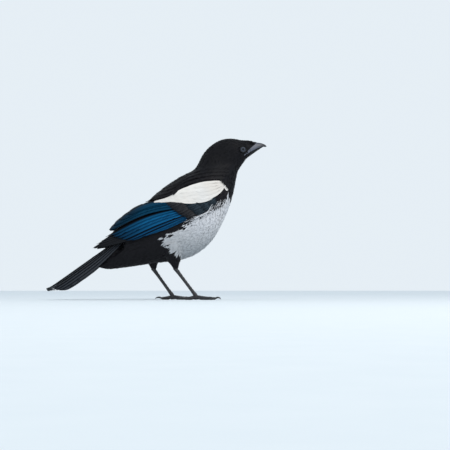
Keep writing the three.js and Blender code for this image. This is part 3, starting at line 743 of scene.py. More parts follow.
WING_BEND = (54, 148)
WING_DIP = math.radians(25)
SHELL_BREADTH = [
    (-10, 17), (0, 22), (20, 28), (60, 34), (100, 29), (130, 23.5), (155, 17.5), (175, 12), (190, 8)
]
SHELL_MIDDLE = [(0, -2), (60, -8), (100, -8), (130, -7), (155, -5), (175, -3), (190, -1)]
SHELL_RADIUS = [
    (-10, 32), (20, 39), (60, 43), (100, 37.8), (130, 33.4), (155, 21.5), (175, 12.5), (190, 7),
]


def side_view(u, v):
    """The drawn X and Z of a place given along the wing and across it."""
    return (
        WING_BEND[0] - math.cos(WING_DIP) * u - math.sin(WING_DIP) * v,
        WING_BEND[1] - math.sin(WING_DIP) * u + math.cos(WING_DIP) * v,
    )


def wing_shell(side, u, v):
    rise = (v - through(SHELL_MIDDLE, u)) / through(SHELL_RADIUS, u)
    share = np.sqrt(np.maximum(0.03, 1 - rise * rise))
    x, z = side_view(u, v)
    return np.stack([x, side * through(SHELL_BREADTH, u) * share, z], axis=-1)


def on_wing(side):
    """Places on a wing, u along it, v across it and lift off its face."""

    def place(u, v, lift):
        here = wing_shell(side, u, v)
        out = np.cross(wing_shell(side, u + 0.5, v) - here, wing_shell(side, u, v + 0.5) - here)
        out /= np.maximum(np.linalg.norm(out, axis=-1), 1e-9)[..., None]
        out *= np.where(out[..., 1:2] * side < 0, -1, 1)
        return here + out * lift[..., None]

    return place


BLUNT = [(0, 0.45), (0.15, 0.78), (0.45, 0.97), (0.75, 1), (0.9, 0.86), (0.96, 0.62), (1, 0.16)]
POINTED = [(0, 0.5), (0.2, 0.85), (0.5, 1), (0.72, 0.86), (0.88, 0.58), (0.96, 0.32), (1, 0.08)]


def laid_vanes(place, vanes, template, roundness=None):
    """Long vanes on a surface: points, faces, marks along, across and at random for each vane,
    and where a roundness is given, normals that follow the surface so that tiers blend."""
    form, faces = template
    t, s, face = form[:, 0], form[:, 1], form[:, 2]
    all_points, all_faces, normals = [], [], []
    marks = {"Along": [], "Across": [], "Edge": [], "Run": [], "Tone": []}
    for number, vane in enumerate(vanes):
        root, middle, tip = (np.array(p, float) for p in vane["line"])
        slope = -3 * root + 4 * middle - tip
        bend = 2 * root - 4 * middle + 2 * tip
        centre = root + slope * t[:, None] + bend * t[:, None] ** 2
        along = slope + 2 * bend * t[:, None]
        along /= np.linalg.norm(along, axis=1)[:, None]
        length = np.linalg.norm(tip - root)
        half = vane["half"] * through(vane.get("outline", BLUNT), t)
        fray = 1 - 0.05 * rng.random(len(t)) * (np.abs(s) > 0.99)
        split = (np.abs(s) > 0.99) & (rng.random(len(t)) < vane.get("splits", 0.03))
        aside = s * half * fray * np.where(split, 0.72, 1)
        aside = aside + vane.get("shaft", 0) * half * (1 - s * s)
        u = centre[:, 0] - along[:, 1] * aside
        v = centre[:, 1] + along[:, 0] * aside
        low, high = vane["lift"]
        rise = low + (high - low) * eased(0, 0.6, t) - vane.get("tilt", 0) * s
        rise = rise + vane.get("camber", 0.5) * (1 - s * s)
        rise = rise + face * vane.get("thick", 0.3) / 2 * (1 - 0.5 * t)
        shaft = (np.abs(s) < 0.01) & (face > 0)
        rise = rise + shaft * vane.get("rib", 0.28) * (1 - 0.8 * t)
        here = place(u, v, rise)
        all_points.append(here)
        all_faces.append(faces + number * len(form))
        if roundness is not None:
            out = unit(place(u, v, rise + 1) - here)
            across = unit(place(u - along[:, 1] / 2, v + along[:, 0] / 2, rise) - here)
            facing = np.where(face < 0, -1, 1)[:, None]
            normals.append(unit(out + across * (s * roundness)[:, None]) * facing)
        marks["Along"].append(t * length)
        marks["Across"].append(s * half)
        marks["Edge"].append(s)
        marks["Run"].append(t)
        marks["Tone"].append(np.full(len(t), rng.random()))
    marks = {mark: np.concatenate(values) for mark, values in marks.items()}
    normals = np.concatenate(normals) if normals else None
    return np.concatenate(all_points), np.concatenate(all_faces), marks, normals


def place_between(places, share):
    """A place among the first, middle and last of a tier."""
    at = np.linspace(0, 1, len(places))
    return tuple(
        float(through([(a, p[axis]) for a, p in zip(at, places)], share)) for axis in (0, 1)
    )


def tier(count, roots, tips, **form):
    """The vanes of one tier, from the uppermost to the lowest."""
    made = []
    for i in range(count):
        share = i / max(1, count - 1)
        root = np.array(place_between(roots, share)) + rng.normal(0, 0.4, 2)
        tip = np.array(place_between(tips, share)) + rng.normal(0, 0.5, 2)
        made.append({"line": (root, (root + tip) / 2, tip), **form})
    return made


def vanes_object(name, place, vanes, template, material, slot, *nodes, roundness=None):
    points, faces, marks, normals = laid_vanes(place, vanes, template, roundness)
    mesh = numbered_mesh(name, spots(points), faces, marks, normals)
    return mesh_object(name, mesh, material, slot, *nodes)


# Structural blue. The barbs scatter blue over a black ground, so the vane is part metallic. Each
# one is black towards its covered edge, partly its real black inner web and partly painted shade
# where it runs under the next feather, and darkens to its tip.
def wing_blue(name, deep, bright, black_and_shade_from, black_and_shade_to, dark_from=0.55, glossy=0.3):
    made, shader = new_material(name)
    streaks, tone = barbs(made, pitch=1.1, slant=1.6)
    spread = add_node(
        made, "ShaderNodeMapRange", {"Value": streaks, "From Min": 0.3, "From Max": 0.7}
    )
    shared = add_node(
        made, "ShaderNodeMath", {0: tone, 1: 0.35, 2: spread.outputs[0]}, operation="MULTIPLY_ADD"
    )
    settled = add_node(
        made, "ShaderNodeMath", {0: shared.outputs[0], 1: 0.74}, operation="MULTIPLY"
    )
    blue = add_node(
        made, "ShaderNodeMix",
        {"Factor": settled.outputs[0], "A": linear(deep), "B": linear(bright)}, data_type="RGBA"
    ).outputs["Result"]
    run = add_node(made, "ShaderNodeAttribute", attribute_name="Run")
    towards_tip = add_node(
        made, "ShaderNodeMapRange",
        {"Value": run.outputs["Fac"], "From Min": dark_from, "From Max": 1.0, "To Max": 0.75}
    )
    duller = add_node(
        made, "ShaderNodeMix",
        {"Factor": towards_tip.outputs[0], "A": blue, "B": linear("#081018")}, data_type="RGBA"
    ).outputs["Result"]
    # black towards the covered edge: the real black inner web, with painted shade reaching into the
    # exposed web beside it
    edge = add_node(made, "ShaderNodeAttribute", attribute_name="Edge")
    black_web_and_painted_shade = add_node(
        made, "ShaderNodeMapRange",
        {"Value": edge.outputs["Fac"], "From Min": black_and_shade_from, "From Max": black_and_shade_to}
    )
    colour = add_node(
        made, "ShaderNodeMix", {"Factor": black_web_and_painted_shade.outputs[0], "A": duller, "B": linear("#05060a")},
        data_type="RGBA"
    ).outputs["Result"]
    made.node_tree.links.new(colour, shader.inputs["Base Color"])
    relief = add_node(
        made, "ShaderNodeBump", {"Height": streaks, "Strength": 0.3, "Distance": 0.0002}
    )
    made.node_tree.links.new(relief.outputs[0], shader.inputs["Normal"])
    shader.inputs["Metallic"].default_value = glossy
    shader.inputs["Roughness"].default_value = 0.42
    shader.inputs["Specular IOR Level"].default_value = 0.06
    return made


inner_blue = wing_blue("black_and_shade_edged_secondary_feather", "#062c46", "#0f5f8c", -0.38, 0.15, 0.5)
panel_blue = wing_blue("blue_secondary_feathers", "#083a5c", "#126698", -0.34, 0.6, 0.5)
stripe_blue = wing_blue("blue_edged_feathers", "#08324f", "#125f90", -0.6, -0.1, 0.8)
tertial_blue = wing_blue("blue_tertial_feathers", "#062436", "#0d4765", -0.1, 0.7, 0.5)
covert_slate = wing_blue("slate_covert_feathers", "#1b2227", "#4a5963", -0.75, 0.5, 0.5, 0.1)
greater_slate = wing_blue(
    "brown_slate_covert_feathers", "#1c1b1e", "#4d4b4c", -0.75, 0.5, 0.5, 0.05
)
lesser_black = wing_blue("brown_black_covert_feathers", "#0d0c0e", "#322e30", -0.6, 0.6, 0.5, 0.05)
primary_black = feather_material(
    "black_flight_feathers", "#0c0d11", "#1d2026", "#121317",
    {"Roughness": 0.42, "Specular IOR Level": 0.15}, bump=0.3, pitch=1.0
)
white_scapular = feather_material(
    "white_scapular_feathers", "#dcd8d4", "#f3efeb", "#e7d9c9",
    {"Roughness": 0.75, "Specular IOR Level": 0.2, "Sheen Weight": 0.05}, bump=0.12
)

long_blade = vane_template(22, 8)
short_blade = vane_template(12, 6)

# The white patch of scapulars, as places along and across the wing from its front to its point
PATCH_LOW = [
    (-2.5, 2.6), (2.5, -2.6), (11, -6.2), (22, -7), (31, -5.9), (40, -3.4), (48, -0.4), (55, 3.6),
    (62, 8.4), (70, 11.8), (79, 15), (88, 18),
]
PATCH_HIGH = [
    (-6.5, 5.5), (1, 9.4), (10, 12.6), (20, 15.2), (32, 16.8), (44, 17.8), (53, 17.6), (59.5, 16.4),
    (66, 15.4), (75.5, 16.8), (82, 18), (88, 19),
]
PATCH_FLOWS = 9
PATCH_STARTS = [-0.02, 0.06, 0.15, 0.24, 0.33, 0.42, 0.51, 0.6, 0.69]
PATCH_RUN = 0.31
PATCH_TONGUE = [1.3, 0.5, -0.3]
patch_low, patch_high = catmull(PATCH_LOW, 101), catmull(PATCH_HIGH, 101)


def in_patch(s, t):
    """A place in the white patch: s across it from its lower edge, t along it."""
    at = np.clip(t, 0, 1) * 100
    low = np.array([np.interp(at, np.arange(101), patch_low[:, k]) for k in (0, 1)])
    high = np.array([np.interp(at, np.arange(101), patch_high[:, k]) for k in (0, 1)])
    ahead = np.array([min(t, 0) * 100, 0])
    return low * (1 - s) + high * s + ahead


def patch_vanes():
    """The patch's feathers lie along its own outline, the front ones over those behind."""
    made = []
    for row, start in enumerate(PATCH_STARTS):
        for i in range(PATCH_FLOWS):
            s = (i + 0.5) / PATCH_FLOWS
            t = start + (0.045 if (i + row) % 2 else 0) + rng.normal(0, 0.008)
            end = min(t + PATCH_RUN, 1)
            line = tuple(in_patch(s, k) for k in (t, (t + end) / 2, end))
            breadth = np.linalg.norm(in_patch(1, (t + end) / 2) - in_patch(0, (t + end) / 2))
            high = 5.0 - 2.4 * t
            made.append(
                {
                    "line": line, "half": max(1.4, breadth / PATCH_FLOWS * 0.95),
                    "lift": (high - (2.6 if t < 0.1 else 1.3), high), "tilt": 0.3, "camber": 0.25,
                    "thick": 0.15, "rib": 0.04
                }
            )
    for behind in PATCH_TONGUE:
        line = ((-2.6 + behind, 8.5), (-4.8 + behind, 2.5), (-6 + behind, -6))
        made.append({"line": line, "half": 1.1, "lift": (2.8, 3.2), "camber": 0.2, "thick": 0.15})
    return made


# The long inner feathers that show as blue panels, each as its root, middle, tip and half width
TERTIALS = [
    ((66, 2), (108, 13.8), (157, 11.4), 4.8), ((68, 6), (105, 16.2), (149, 14.4), 4.6),
    ((70, 9.5), (102, 18), (138, 16.8), 4.4), ((74, 12.5), (99, 19), (126, 18.6), 4.4),
]
SECONDARIES = [
    ((66, -1), (108, 6.8), (158, 5), 4.2), ((65, -4), (106, 3), (156, 1.8), 4.2),
    ((63, -7), (103, -0.8), (152, -1.8), 4.2), ((61, -10), (100, -4.8), (148, -5.4), 4.2),
    ((59, -12.8), (97, -8.6), (143, -8.8), 4.2), ((57, -14.8), (93, -12), (137, -11.4), 3.8),
]
BLUE_EDGED = [
    ((54, -14.6), (90, -13.9), (130, -13.2), 1.8), ((54, -15.8), (88, -15.4), (121, -14.8), 1.6),
    ((54, -17), (84, -16.8), (111, -16.1), 1.5), ((55, -18.3), (80, -18), (99, -17.3), 1.4),
]


def listed(places, first_lift, step, **form):
    """Vanes given one by one, each a step higher off the wing than the last."""
    return [
        {
            "line": (root, middle, tip), "half": half,
            "lift": (first_lift + step * i, first_lift + 1 + step * i), **form
        } for i,
        (root, middle, tip, half) in enumerate(places)
    ]


# Primaries, as where the uppermost, middle and lowest are rooted and end
PRIMARY_ROOTS = [(87, 3), (85, -5), (80, -12)]
PRIMARY_TIPS = [(166, 6.5), (188, 0), (156, -7.5)]
# Coverts from the longest tier to the shortest: piece, finish, count, roots, tips, half width,
# lift at root and tip, tilt, and how far the shaft stands up
COVERTS = [
    (
        "greater_coverts", greater_slate, 11, [(42, 10), (40, -1), (36, -15)],
        [(75, 10.5), (68, -3), (58, -18.5)], 3.2, (1.7, 2.8), 0.8, 0.15
    ),
    (
        "median_coverts", covert_slate, 10, [(22, 6), (20, -5), (18, -15)],
        [(57, 5), (51, -8), (45, -20.5)], 3.2, (2.3, 3.4), 0.7, 0.1
    ),
    (
        "median_coverts", covert_slate, 10, [(14, 4), (12, -6), (9, -14)],
        [(43, 1), (38, -9), (34, -21)], 3.1, (2.5, 3.7), 0.7, 0.1
    ),
    (
        "lesser_coverts", covert_slate, 9, [(4, 2), (4, -6), (5, -13)],
        [(31, -2), (27, -11), (24, -20)], 2.7, (2.6, 3.9), 0.6, 0.08
    ),
    (
        "least_coverts", lesser_black, 8, [(-4, 1), (-4, -5), (0, -11)],
        [(20, -4), (17, -10), (14, -17.5)], 2.4, (2.4, 3.8), 0.6, 0.08
    ),
    (
        "least_coverts", lesser_black, 7, [(-7, 0), (-7, -4), (-5, -8)],
        [(9, -5), (8, -9), (6, -14)], 2.1, (1.8, 3.4), 0.5, 0.08
    ),
]
COVERT_ROUNDNESS = 0.5
SCAPULAR_ROUNDNESS = 0.12


def wing_tiers():
    """Every tier of a folded wing from the innermost out: name, finish, blade, roundness, vanes."""
    primaries = tier(
        9, PRIMARY_ROOTS, PRIMARY_TIPS, half=4.4, lift=(-0.6, -1.0), tilt=1.2, outline=POINTED,
        shaft=-0.3, thick=0.25, splits=0.0
    )
    blue_edged = listed(BLUE_EDGED, 0.4, -0.25, tilt=0.5, outline=POINTED)
    secondaries = listed(SECONDARIES, 0.8, -0.16, tilt=1.0, shaft=-0.25, thick=0.25)
    tertials = listed(TERTIALS, 1.3, 0.5, tilt=1.0)
    coverts = {}
    for name, finish, count, roots, tips, half, lift, tilt, rib in COVERTS:
        vanes = tier(count, roots, tips, half=half, lift=lift, tilt=tilt, rib=rib)
        coverts.setdefault(name, (finish, []))[1].extend(vanes)
    return [
        ("primaries", primary_black, long_blade, None, primaries),
        ("blue_edged_secondaries", stripe_blue, long_blade, None, blue_edged + secondaries[4:]),
        ("secondaries", panel_blue, long_blade, None, secondaries[1:4]),
        ("inner_secondary", inner_blue, long_blade, None, secondaries[:1]),
        ("tertials", tertial_blue, long_blade, None, tertials),
        *[
            (name, finish, short_blade, COVERT_ROUNDNESS, vanes)
            for name, (finish, vanes) in coverts.items()
        ],
        ("white_scapulars", white_scapular, short_blade, SCAPULAR_ROUNDNESS, patch_vanes()),
    ]


# The arm: a closed pad of small black feathers under the tiers, so that nothing shows through
PAD_LOW = [(-6, 0), (0, -7), (20, -15), (57, -16), (94, -13)]
PAD_HIGH = [(-6, 5), (0, 9), (25, 18), (55, 21), (94, 20)]
PAD_FACE = [(-6, 1.0), (20, 2.3), (50, 1.4), (75, 0.6), (94, -0.4)]
PAD_DEPTH = [(0, -5), (60, -5), (94, -1.2)]
wing_meshes = {-1: [], 1: []}
for wing_side, wing_name in ((-1, "right"), (1, "left")):
    place = on_wing(wing_side)
    form, faces = vane_template(20, 12)
    pad_u = -6 + 100 * form[:, 0]
    pad_share = (form[:, 1] + 1) / 2
    pad_v = through(PAD_LOW, pad_u) * (1 - pad_share) + through(PAD_HIGH, pad_u) * pad_share
    pad_top, pad_bottom = through(PAD_FACE, pad_u), through(PAD_DEPTH, pad_u)
    pad_lift = (pad_top + pad_bottom) / 2 + form[:, 2] * (pad_top - pad_bottom) / 2
    pad_points = spots(place(pad_u, pad_v, pad_lift))
    pad_marks = {"Tone": np.zeros(len(form)), "Along": pad_u, "Across": pad_v}
    pad_mesh = numbered_mesh(f"wing_arm_{wing_name}", pad_points, faces, pad_marks)
    mesh_object(f"wing_arm_{wing_name}", pad_mesh, black_plumage, "black_feathers")
    for name, material, template, roundness, vanes in wing_tiers():
        slot = "white_feathers" if material is white_scapular else "wing_feathers"
        nodes = [f"wing_{wing_name}"] if name == "secondaries" else []
        made = vanes_object(
            f"{name}_{wing_name}", place, vanes, template, material, slot, *nodes,
            roundness=roundness
        )
        wing_meshes[wing_side].append(made.data)


# Mantle and flank plumes. Loose feathers of the body that lie over the edges of the folded wing:
# black ones from the back over the white patch, white and black ones over its lower edge.
def surface_tree(meshes):
    """The skin and some meshes as one surface to lay plumes on."""
    points = [Vector(p) for p in skin_points]
    corners = [tuple(t) for t in triangles]
    for mesh in meshes:
        mesh.calc_loop_triangles()
        first = len(points)
        points += [v.co.copy() for v in mesh.vertices]
        corners += [tuple(first + i for i in t.vertices) for t in mesh.loop_triangles]
    return BVHTree.FromPolygons(points, corners)


def draped(side, paths, tree, lift=0.0, forgiving=False):
    """Spines over what lies outermost at each point of paths on the side view, raised by lift
    towards their tips, and the skin's outward direction there. A path that leaves the surface is
    dropped, or if forgiving brought down on to it."""
    spine, kept = np.empty((len(paths), paths.shape[1], 3)), []
    for i, path in enumerate(paths):
        for k, (x, z) in enumerate(path):
            hit = None
            while hit is None and z > path[k, 1] - 14:
                hit, _, _, _ = tree.ray_cast(spot(x, side * 70, z), Vector((0, -side, 0)))
                if not forgiving:
                    break
                z -= 0 if hit else 0.7
            if hit is None:
                break
            spine[i, k] = drawn(np.array(hit))
        else:
            kept.append(i)
    spine = spine[kept]
    inner = (spine[:, :-2, 1] + spine[:, 2:, 1]) / 2
    flat = spine[:, 1:-1, 1]
    spine[:, 1:-1, 1] = np.where(np.abs(inner) > np.abs(flat), inner, (inner + flat) / 2)
    spine = spots(spine)
    _, ups = on_skin(spine.reshape(-1, 3))
    ups = ups.reshape(spine.shape)
    raised = np.linspace(-0.3, 1, spine.shape[1])[None, :, None] * lift / 1000
    return spine + ups * raised, ups, np.array(kept)


def path_between(roots, tips, sag):
    """Paths of plumes on the side view, bowed downwards by sag."""
    t = np.linspace(0, 1, SPINE_STEPS + 1)[None, :, None]
    run = roots[:, None] * (1 - t) + tips[:, None] * t
    return run - np.array([0, 1]) * (4 * t * (1 - t)) * np.asarray(sag)[:, None, None]


# Where the black mantle ends over the white, and the lower edge of the folded wing, as seen
MANTLE_EDGE = [
    (-6, 8.5), (1, 12), (10, 16), (20, 19.2), (32, 21.2), (44, 22.4), (53, 21.6), (59.5, 19.8),
    (66, 18), (76, 19), (88, 21.6), (93, 24.4), (98, 26.6),
]
FRONT_EDGE = [(-9.5, -5), (-8.5, 0), (-7.2, 4), (-5.5, 8.5)]
FLANK = [(4, -21), (12, -20.5), (22, -22), (40, -23), (52, -22.5), (66, -25)]
# Rows of mantle plumes, as how far each lies behind the edge, above it and off the skin
MANTLE_ROWS = [(0, 0.4, 1.5), (-5, 4, 1.8), (-9, 7.6, 1.6), (-13, 11, 1.2)]
MANTLE_WIDTH = 4.0
FLANK_PLUMES = 760
for side, name in ((-1, "right"), (1, "left")):
    tree = surface_tree(wing_meshes[side])
    edge = catmull(MANTLE_EDGE, 400)
    tips, roots, heights = [], [], []
    for back, up, high in MANTLE_ROWS:
        for at in np.linspace(2, 399, 62):
            tip = edge[int(at)] + (back, up) + rng.normal(0, (0.9, 0.25), 2)
            tips.append(side_view(*tip))
            roots.append(side_view(tip[0] - 20 + rng.normal(0, 1), tip[1] + 6 + rng.normal(0, 0.6)))
            heights.append(high)
    front = catmull(FRONT_EDGE, 40)
    for at in np.linspace(0, 39, 24):
        tip = front[int(at)] + (2.0, 0) + rng.normal(0, 0.4, 2)
        tips.append(side_view(*tip))
        roots.append(side_view(tip[0] - 8, tip[1] + 9))
        heights.append(1.2)
    tips, roots, heights = np.array(tips), np.array(roots), np.array(heights)
    paths = path_between(roots, tips, np.full(len(tips), 0.8))
    spine, ups, kept = draped(side, paths, tree, 1.2, forgiving=True)
    lengths = np.linalg.norm(tips - roots, axis=1)
    sizes = (lengths[kept], np.full(len(kept), MANTLE_WIDTH), heights[kept])
    mantle = coat_mesh(f"mantle_plumes_{name}", spine, ups, sizes, long_vane)
    mesh_object(f"mantle_plumes_{name}", mantle, black_plumage, "black_feathers")

    flank = catmull(FLANK, 200)
    count = FLANK_PLUMES
    at = rng.integers(0, 200, count)
    # the plumes hang down at the breast and sweep back level with the wing behind it
    swept = np.clip((flank[at][:, :1] - 14) / 26, 0, 1)
    run = (1 - swept) * (8.5, -7.5) + swept * (17, 3.4) + rng.normal(0, (1.6, 1.1), (count, 2))
    tips = flank[at] + (1 - swept) * (2, -2.5) + swept * (6, 0.2)
    tips = tips + rng.normal(0, (2.6, 1.7), (count, 2))
    roots = tips - run
    pale = rng.random(count) < 0.5 + 0.35 * swept[:, 0]
    tips = np.array([side_view(*p) for p in tips])
    roots = np.array([side_view(*p) for p in roots])
    paths = path_between(roots, tips, rng.normal(0.6, 0.5, count))
    spine, ups, kept = draped(side, paths, tree, 0.3)
    lengths, pale = np.linalg.norm(tips - roots, axis=1)[kept], pale[kept]
    for chosen, material, slot, kind in (
        (pale, white_plumage, "white_feathers", "white"),
        (~pale, black_plumage, "black_feathers", "black"),
    ):
        widths = rng.uniform(0.45, 0.95, chosen.sum())
        heights = rng.uniform(0.2, 0.6, chosen.sum())
        plumes = coat_mesh(
            f"{kind}_flank_{name}", spine[chosen], ups[chosen], (lengths[chosen], widths, heights),
            long_vane
        )
        mesh_object(f"{kind}_flank_{name}", plumes, material, slot)


# Tail. Twelve long feathers in six pairs, hung like a roof either side of the middle pair, which
# is longest and lies on top. They are slate black with a weak gloss above and black below.
TAIL_ROOT = (-63, 94.4)
TAIL_DIP = math.radians(35.5)
TAIL_LENGTH = 140
ARCH_HALF = 17
ARCH_DROP = 16
MM_ROUND_ARCH = math.pi / 360 * (ARCH_HALF + ARCH_DROP)
RECTRIX_SHARES = [1, 0.99, 0.975, 0.955, 0.93, 0.9]
RECTRIX_STEP = 3.5


def on_tail(u, v, lift):
    wide = 0.42 + 0.58 * eased(-10, 75, u)
    angle = np.radians(v / MM_ROUND_ARCH)
    half, drop = ARCH_HALF * wide, ARCH_DROP * wide
    out = np.stack([np.sin(angle) / half, np.cos(angle) / drop], axis=-1)
    out /= np.linalg.norm(out, axis=-1)[..., None]
    y = half * np.sin(angle) + out[..., 0] * lift
    n = -drop * (1 - np.cos(angle)) + out[..., 1] * lift
    return np.stack(
        [
            TAIL_ROOT[0] - math.cos(TAIL_DIP) * u - math.sin(TAIL_DIP) * n, y,
            TAIL_ROOT[1] - math.sin(TAIL_DIP) * u + math.cos(TAIL_DIP) * n
        ],
        axis=-1
    )


tail_slate = feather_material(
    "slate_black_tail_feathers", "#13161b", "#2a2f38", "#1b1e25",
    {"Roughness": 0.38, "Specular IOR Level": 0.5, "Metallic": 0.25}, bump=0.3, pitch=1.1
)
tail_vanes = []
for tail_side in (-1, 1):
    for i, share in enumerate(RECTRIX_SHARES):
        round_arch = tail_side * (2.6 + RECTRIX_STEP * i)
        length = TAIL_LENGTH * share
        tail_vanes.append(
            {
                "line": (
                    (6, round_arch * 0.85), (length * 0.53, round_arch * 0.95), (length, round_arch)
                ),
                "half": 6.6, "lift": (0, 0.9 if (i, tail_side) == (0, 1) else 0),
                "tilt": -tail_side * 2.2, "shaft": 0.15 * tail_side, "thick": 0.35, "camber": 0.3
            }
        )
vanes_object(
    "tail_feathers", on_tail, tail_vanes, vane_template(30, 8), tail_slate, "tail_feathers", "tail"
)


# Bill. Blue-grey horn over bone, paler along the upper half's sides, where the paler grey is
# painted reflection of the sky, black below and at its hooked tip. A soft gape of the same horn
# runs back over the cheek to the corner of the mouth.
def horn_material(name, dark, pale, low_x, high_x, roughness, polish=0.25):
    """Horn that darkens along the bill or claw, with fine streaks that grow lengthwise."""
    made, shader = new_material(name)
    object_place = add_node(made, "ShaderNodeTexCoord").outputs["Object"]
    streaks = add_node(
        made, "ShaderNodeTexNoise",
        {
            "Vector": add_node(
                made, "ShaderNodeMapping", {"Vector": object_place, "Scale": (120, 900, 900)}
            ).outputs[0],
            "Scale": 1.0, "Detail": 3.0
        }
    )
    parts = add_node(made, "ShaderNodeSeparateXYZ", {0: object_place})
    towards_tip = add_node(
        made, "ShaderNodeMapRange",
        {"Value": parts.outputs["X"], "From Min": low_x, "From Max": high_x}
    )
    grain = add_node(
        made, "ShaderNodeMath", {0: streaks.outputs["Fac"], 1: 0.5, 2: towards_tip.outputs[0]},
        operation="MULTIPLY_ADD"
    )
    shaded = add_node(made, "ShaderNodeMapRange", {"Value": grain.outputs[0], "From Min": 0.15})
    colour = add_node(
        made, "ShaderNodeMix", {"Factor": shaded.outputs[0], "A": linear(pale), "B": linear(dark)},
        data_type="RGBA"
    ).outputs["Result"]
    made.node_tree.links.new(colour, shader.inputs["Base Color"])
    relief = add_node(
        made, "ShaderNodeBump",
        {"Height": streaks.outputs["Fac"], "Strength": 0.15, "Distance": 0.0001}
    )
    made.node_tree.links.new(relief.outputs[0], shader.inputs["Normal"])
    shader.inputs["Roughness"].default_value = roughness
    shader.inputs["Coat Weight"].default_value = polish
    shader.inputs["Specular IOR Level"].default_value = 2 * polish
    shader.inputs["Coat Roughness"].default_value = 0.3
    return made


# the upper horn's pale end is painted reflection of the sky on the upper bill; the lower horn has
# none
upper_horn = horn_material(
    "blue_grey_bill_horn_painted_reflection", "#1c1d23", "#5a5e6c", spot(101, 0, 0).x, spot(117, 0, 0).x, 0.4
)
lower_horn = horn_material(
    "black_bill_horn", "#08080a", "#17181c", spot(94, 0, 0).x, spot(108, 0, 0).x, 0.45, 0.08
)
bill_meshes = []
for node, horn in (("bill_upper", upper_horn), ("bill_lower", lower_horn)):
    bill_mesh = remeshed([node], 0.00035, 0.00018, 6)
    bill_mesh.polygons.foreach_set("use_smooth", [True] * len(bill_mesh.polygons))
    bill_mesh.name = node + "_horn"
    bill_meshes.append(bill_mesh)
    mesh_object(node + "_horn", bill_mesh, horn, "bill_horn", node)

# The gape, as its upper and lower edge on the side view from the corner of the mouth forward
GAPE_ABOVE = [(85.6, 194.2), (88, 197.2), (91, 200.6), (94.5, 204), (98.5, 207.2)]
GAPE_BELOW = [(85.8, 193.4), (88.2, 194.8), (91.2, 196.6), (94.8, 199.2), (99, 201.7)]
GAPE_THICK = 0.45
face_tree = surface_tree(bill_meshes)
for side, name in ((-1, "right"), (1, "left")):
    form, faces = vane_template(16, 8)
    above, below = catmull(GAPE_ABOVE, 101), catmull(GAPE_BELOW, 101)
    share = (form[:, 1:2] + 1) / 2
    ahead = form[:, 0] * 100
    high = np.stack([np.interp(ahead, np.arange(101), above[:, k]) for k in (0, 1)], 1)
    low = np.stack([np.interp(ahead, np.arange(101), below[:, k]) for k in (0, 1)], 1)
    flat = low * (1 - share) + high * share
    points = []
    for (x, z), face, t in zip(flat, form[:, 2], form[:, 0]):
        hit, _, _, _ = face_tree.ray_cast(spot(x, side * 70, z), Vector((0, -side, 0)))
        reach = abs(drawn(np.array(hit))[1]) if hit is not None else 4.0
        proud = GAPE_THICK * (face * 0.5 * (1 - t) + 0.3 * (1 - 1.3 * t))
        points.append((x, side * (reach + proud), z))
    gape_marks = {"Tone": np.zeros(len(form))}
    gape = numbered_mesh(f"gape_{name}", spots(points), faces, gape_marks)
    mesh_object(f"gape_{name}", gape, upper_horn, "bill_horn")

# Bristles. Fine stiff feathers that spring from the face and lie forward over the bill's root,
# hiding the nostrils, their tips on a line from the gape to the ridge of the bill. The rows are
# given as how far each lies behind that line and how many bristles are in it.
BRISTLE_ROWS = ((0, 90), (2.5, 70), (5, 60), (8, 50))
BRISTLE_LINE = [
    (87, 198.8), (91.4, 202.2), (95.6, 205), (99.8, 208.4), (102.2, 211), (103.4, 212.8)
]
bristle_vane = vane_template(4, 2)
for side, name in ((-1, "right"), (1, "left")):
    line = catmull(BRISTLE_LINE, 200)
    tips, roots = [], []
    for back, count in BRISTLE_ROWS:
        for at in np.linspace(0, 187, count):
            share = at / 199
            tip = line[int(at)] - (back + rng.uniform(0, 1.4), 0.3 * back) + rng.normal(0, 0.25, 2)
            root = tip - (rng.uniform(6, 9), 3.2 - 2.2 * share) + rng.normal(0, 0.3, 2)
            tips.append(tip)
            roots.append(root)
    tips, roots = np.array(tips), np.array(roots)
    paths = path_between(roots, tips, np.zeros(len(tips)))
    spine, _, kept = draped(side, paths, face_tree)
    ups = drawn(spine) - (0, 0, 204)
    ups[..., 0] = 0.5
    ups = unit(ups)
    lengths = np.linalg.norm(tips - roots, axis=1)[kept]
    sizes = (lengths, rng.uniform(0.45, 0.75, len(kept)), rng.uniform(0.25, 0.6, len(kept)))
    bristles = coat_mesh(f"bristles_{name}", spine, ups, sizes, bristle_vane)
    mesh_object(f"bristles_{name}", bristles, black_plumage, "black_feathers")

# The forehead's bristles, laid from above over the step down to the ridge of the bill, in rows
# given as how far forward each reaches and how many are in it
FOREHEAD_ROWS = ((103, 60), (100.5, 50), (98, 40), (95, 40))
FOREHEAD_HALF = 3.7
spine = []
for reach, count in FOREHEAD_ROWS:
    for y in np.linspace(-FOREHEAD_HALF, FOREHEAD_HALF, count):
        y += rng.normal(0, 0.1)
        tip_x = reach - 0.15 * y * y + rng.normal(0, 0.5)
        root_x = tip_x - rng.uniform(8, 11)
        path = []
        for x in np.linspace(root_x, tip_x, SPINE_STEPS + 1):
            hit, _, _, _ = face_tree.ray_cast(spot(x, y, 240), Vector((0, 0, -1)))
            path.append(drawn(np.array(hit)))
        path = np.array(path)
        chord = np.linspace(path[0, 2], path[-1, 2], SPINE_STEPS + 1)
        path[:, 2] = np.maximum(path[:, 2], chord)
        spine.append(path)
spine = np.array(spine)
lengths = np.linalg.norm(spine[:, -1] - spine[:, 0], axis=1)
sizes = (lengths, rng.uniform(0.5, 0.8, len(spine)), rng.uniform(0.25, 0.5, len(spine)))
ups = unit((spine - (0, 0, 204)) * (0, 1, 1) + (0.5, 0, 0))
forehead = coat_mesh("bristles_forehead", spots(spine), ups, sizes, bristle_vane)
mesh_object("bristles_forehead", forehead, black_plumage, "black_feathers")


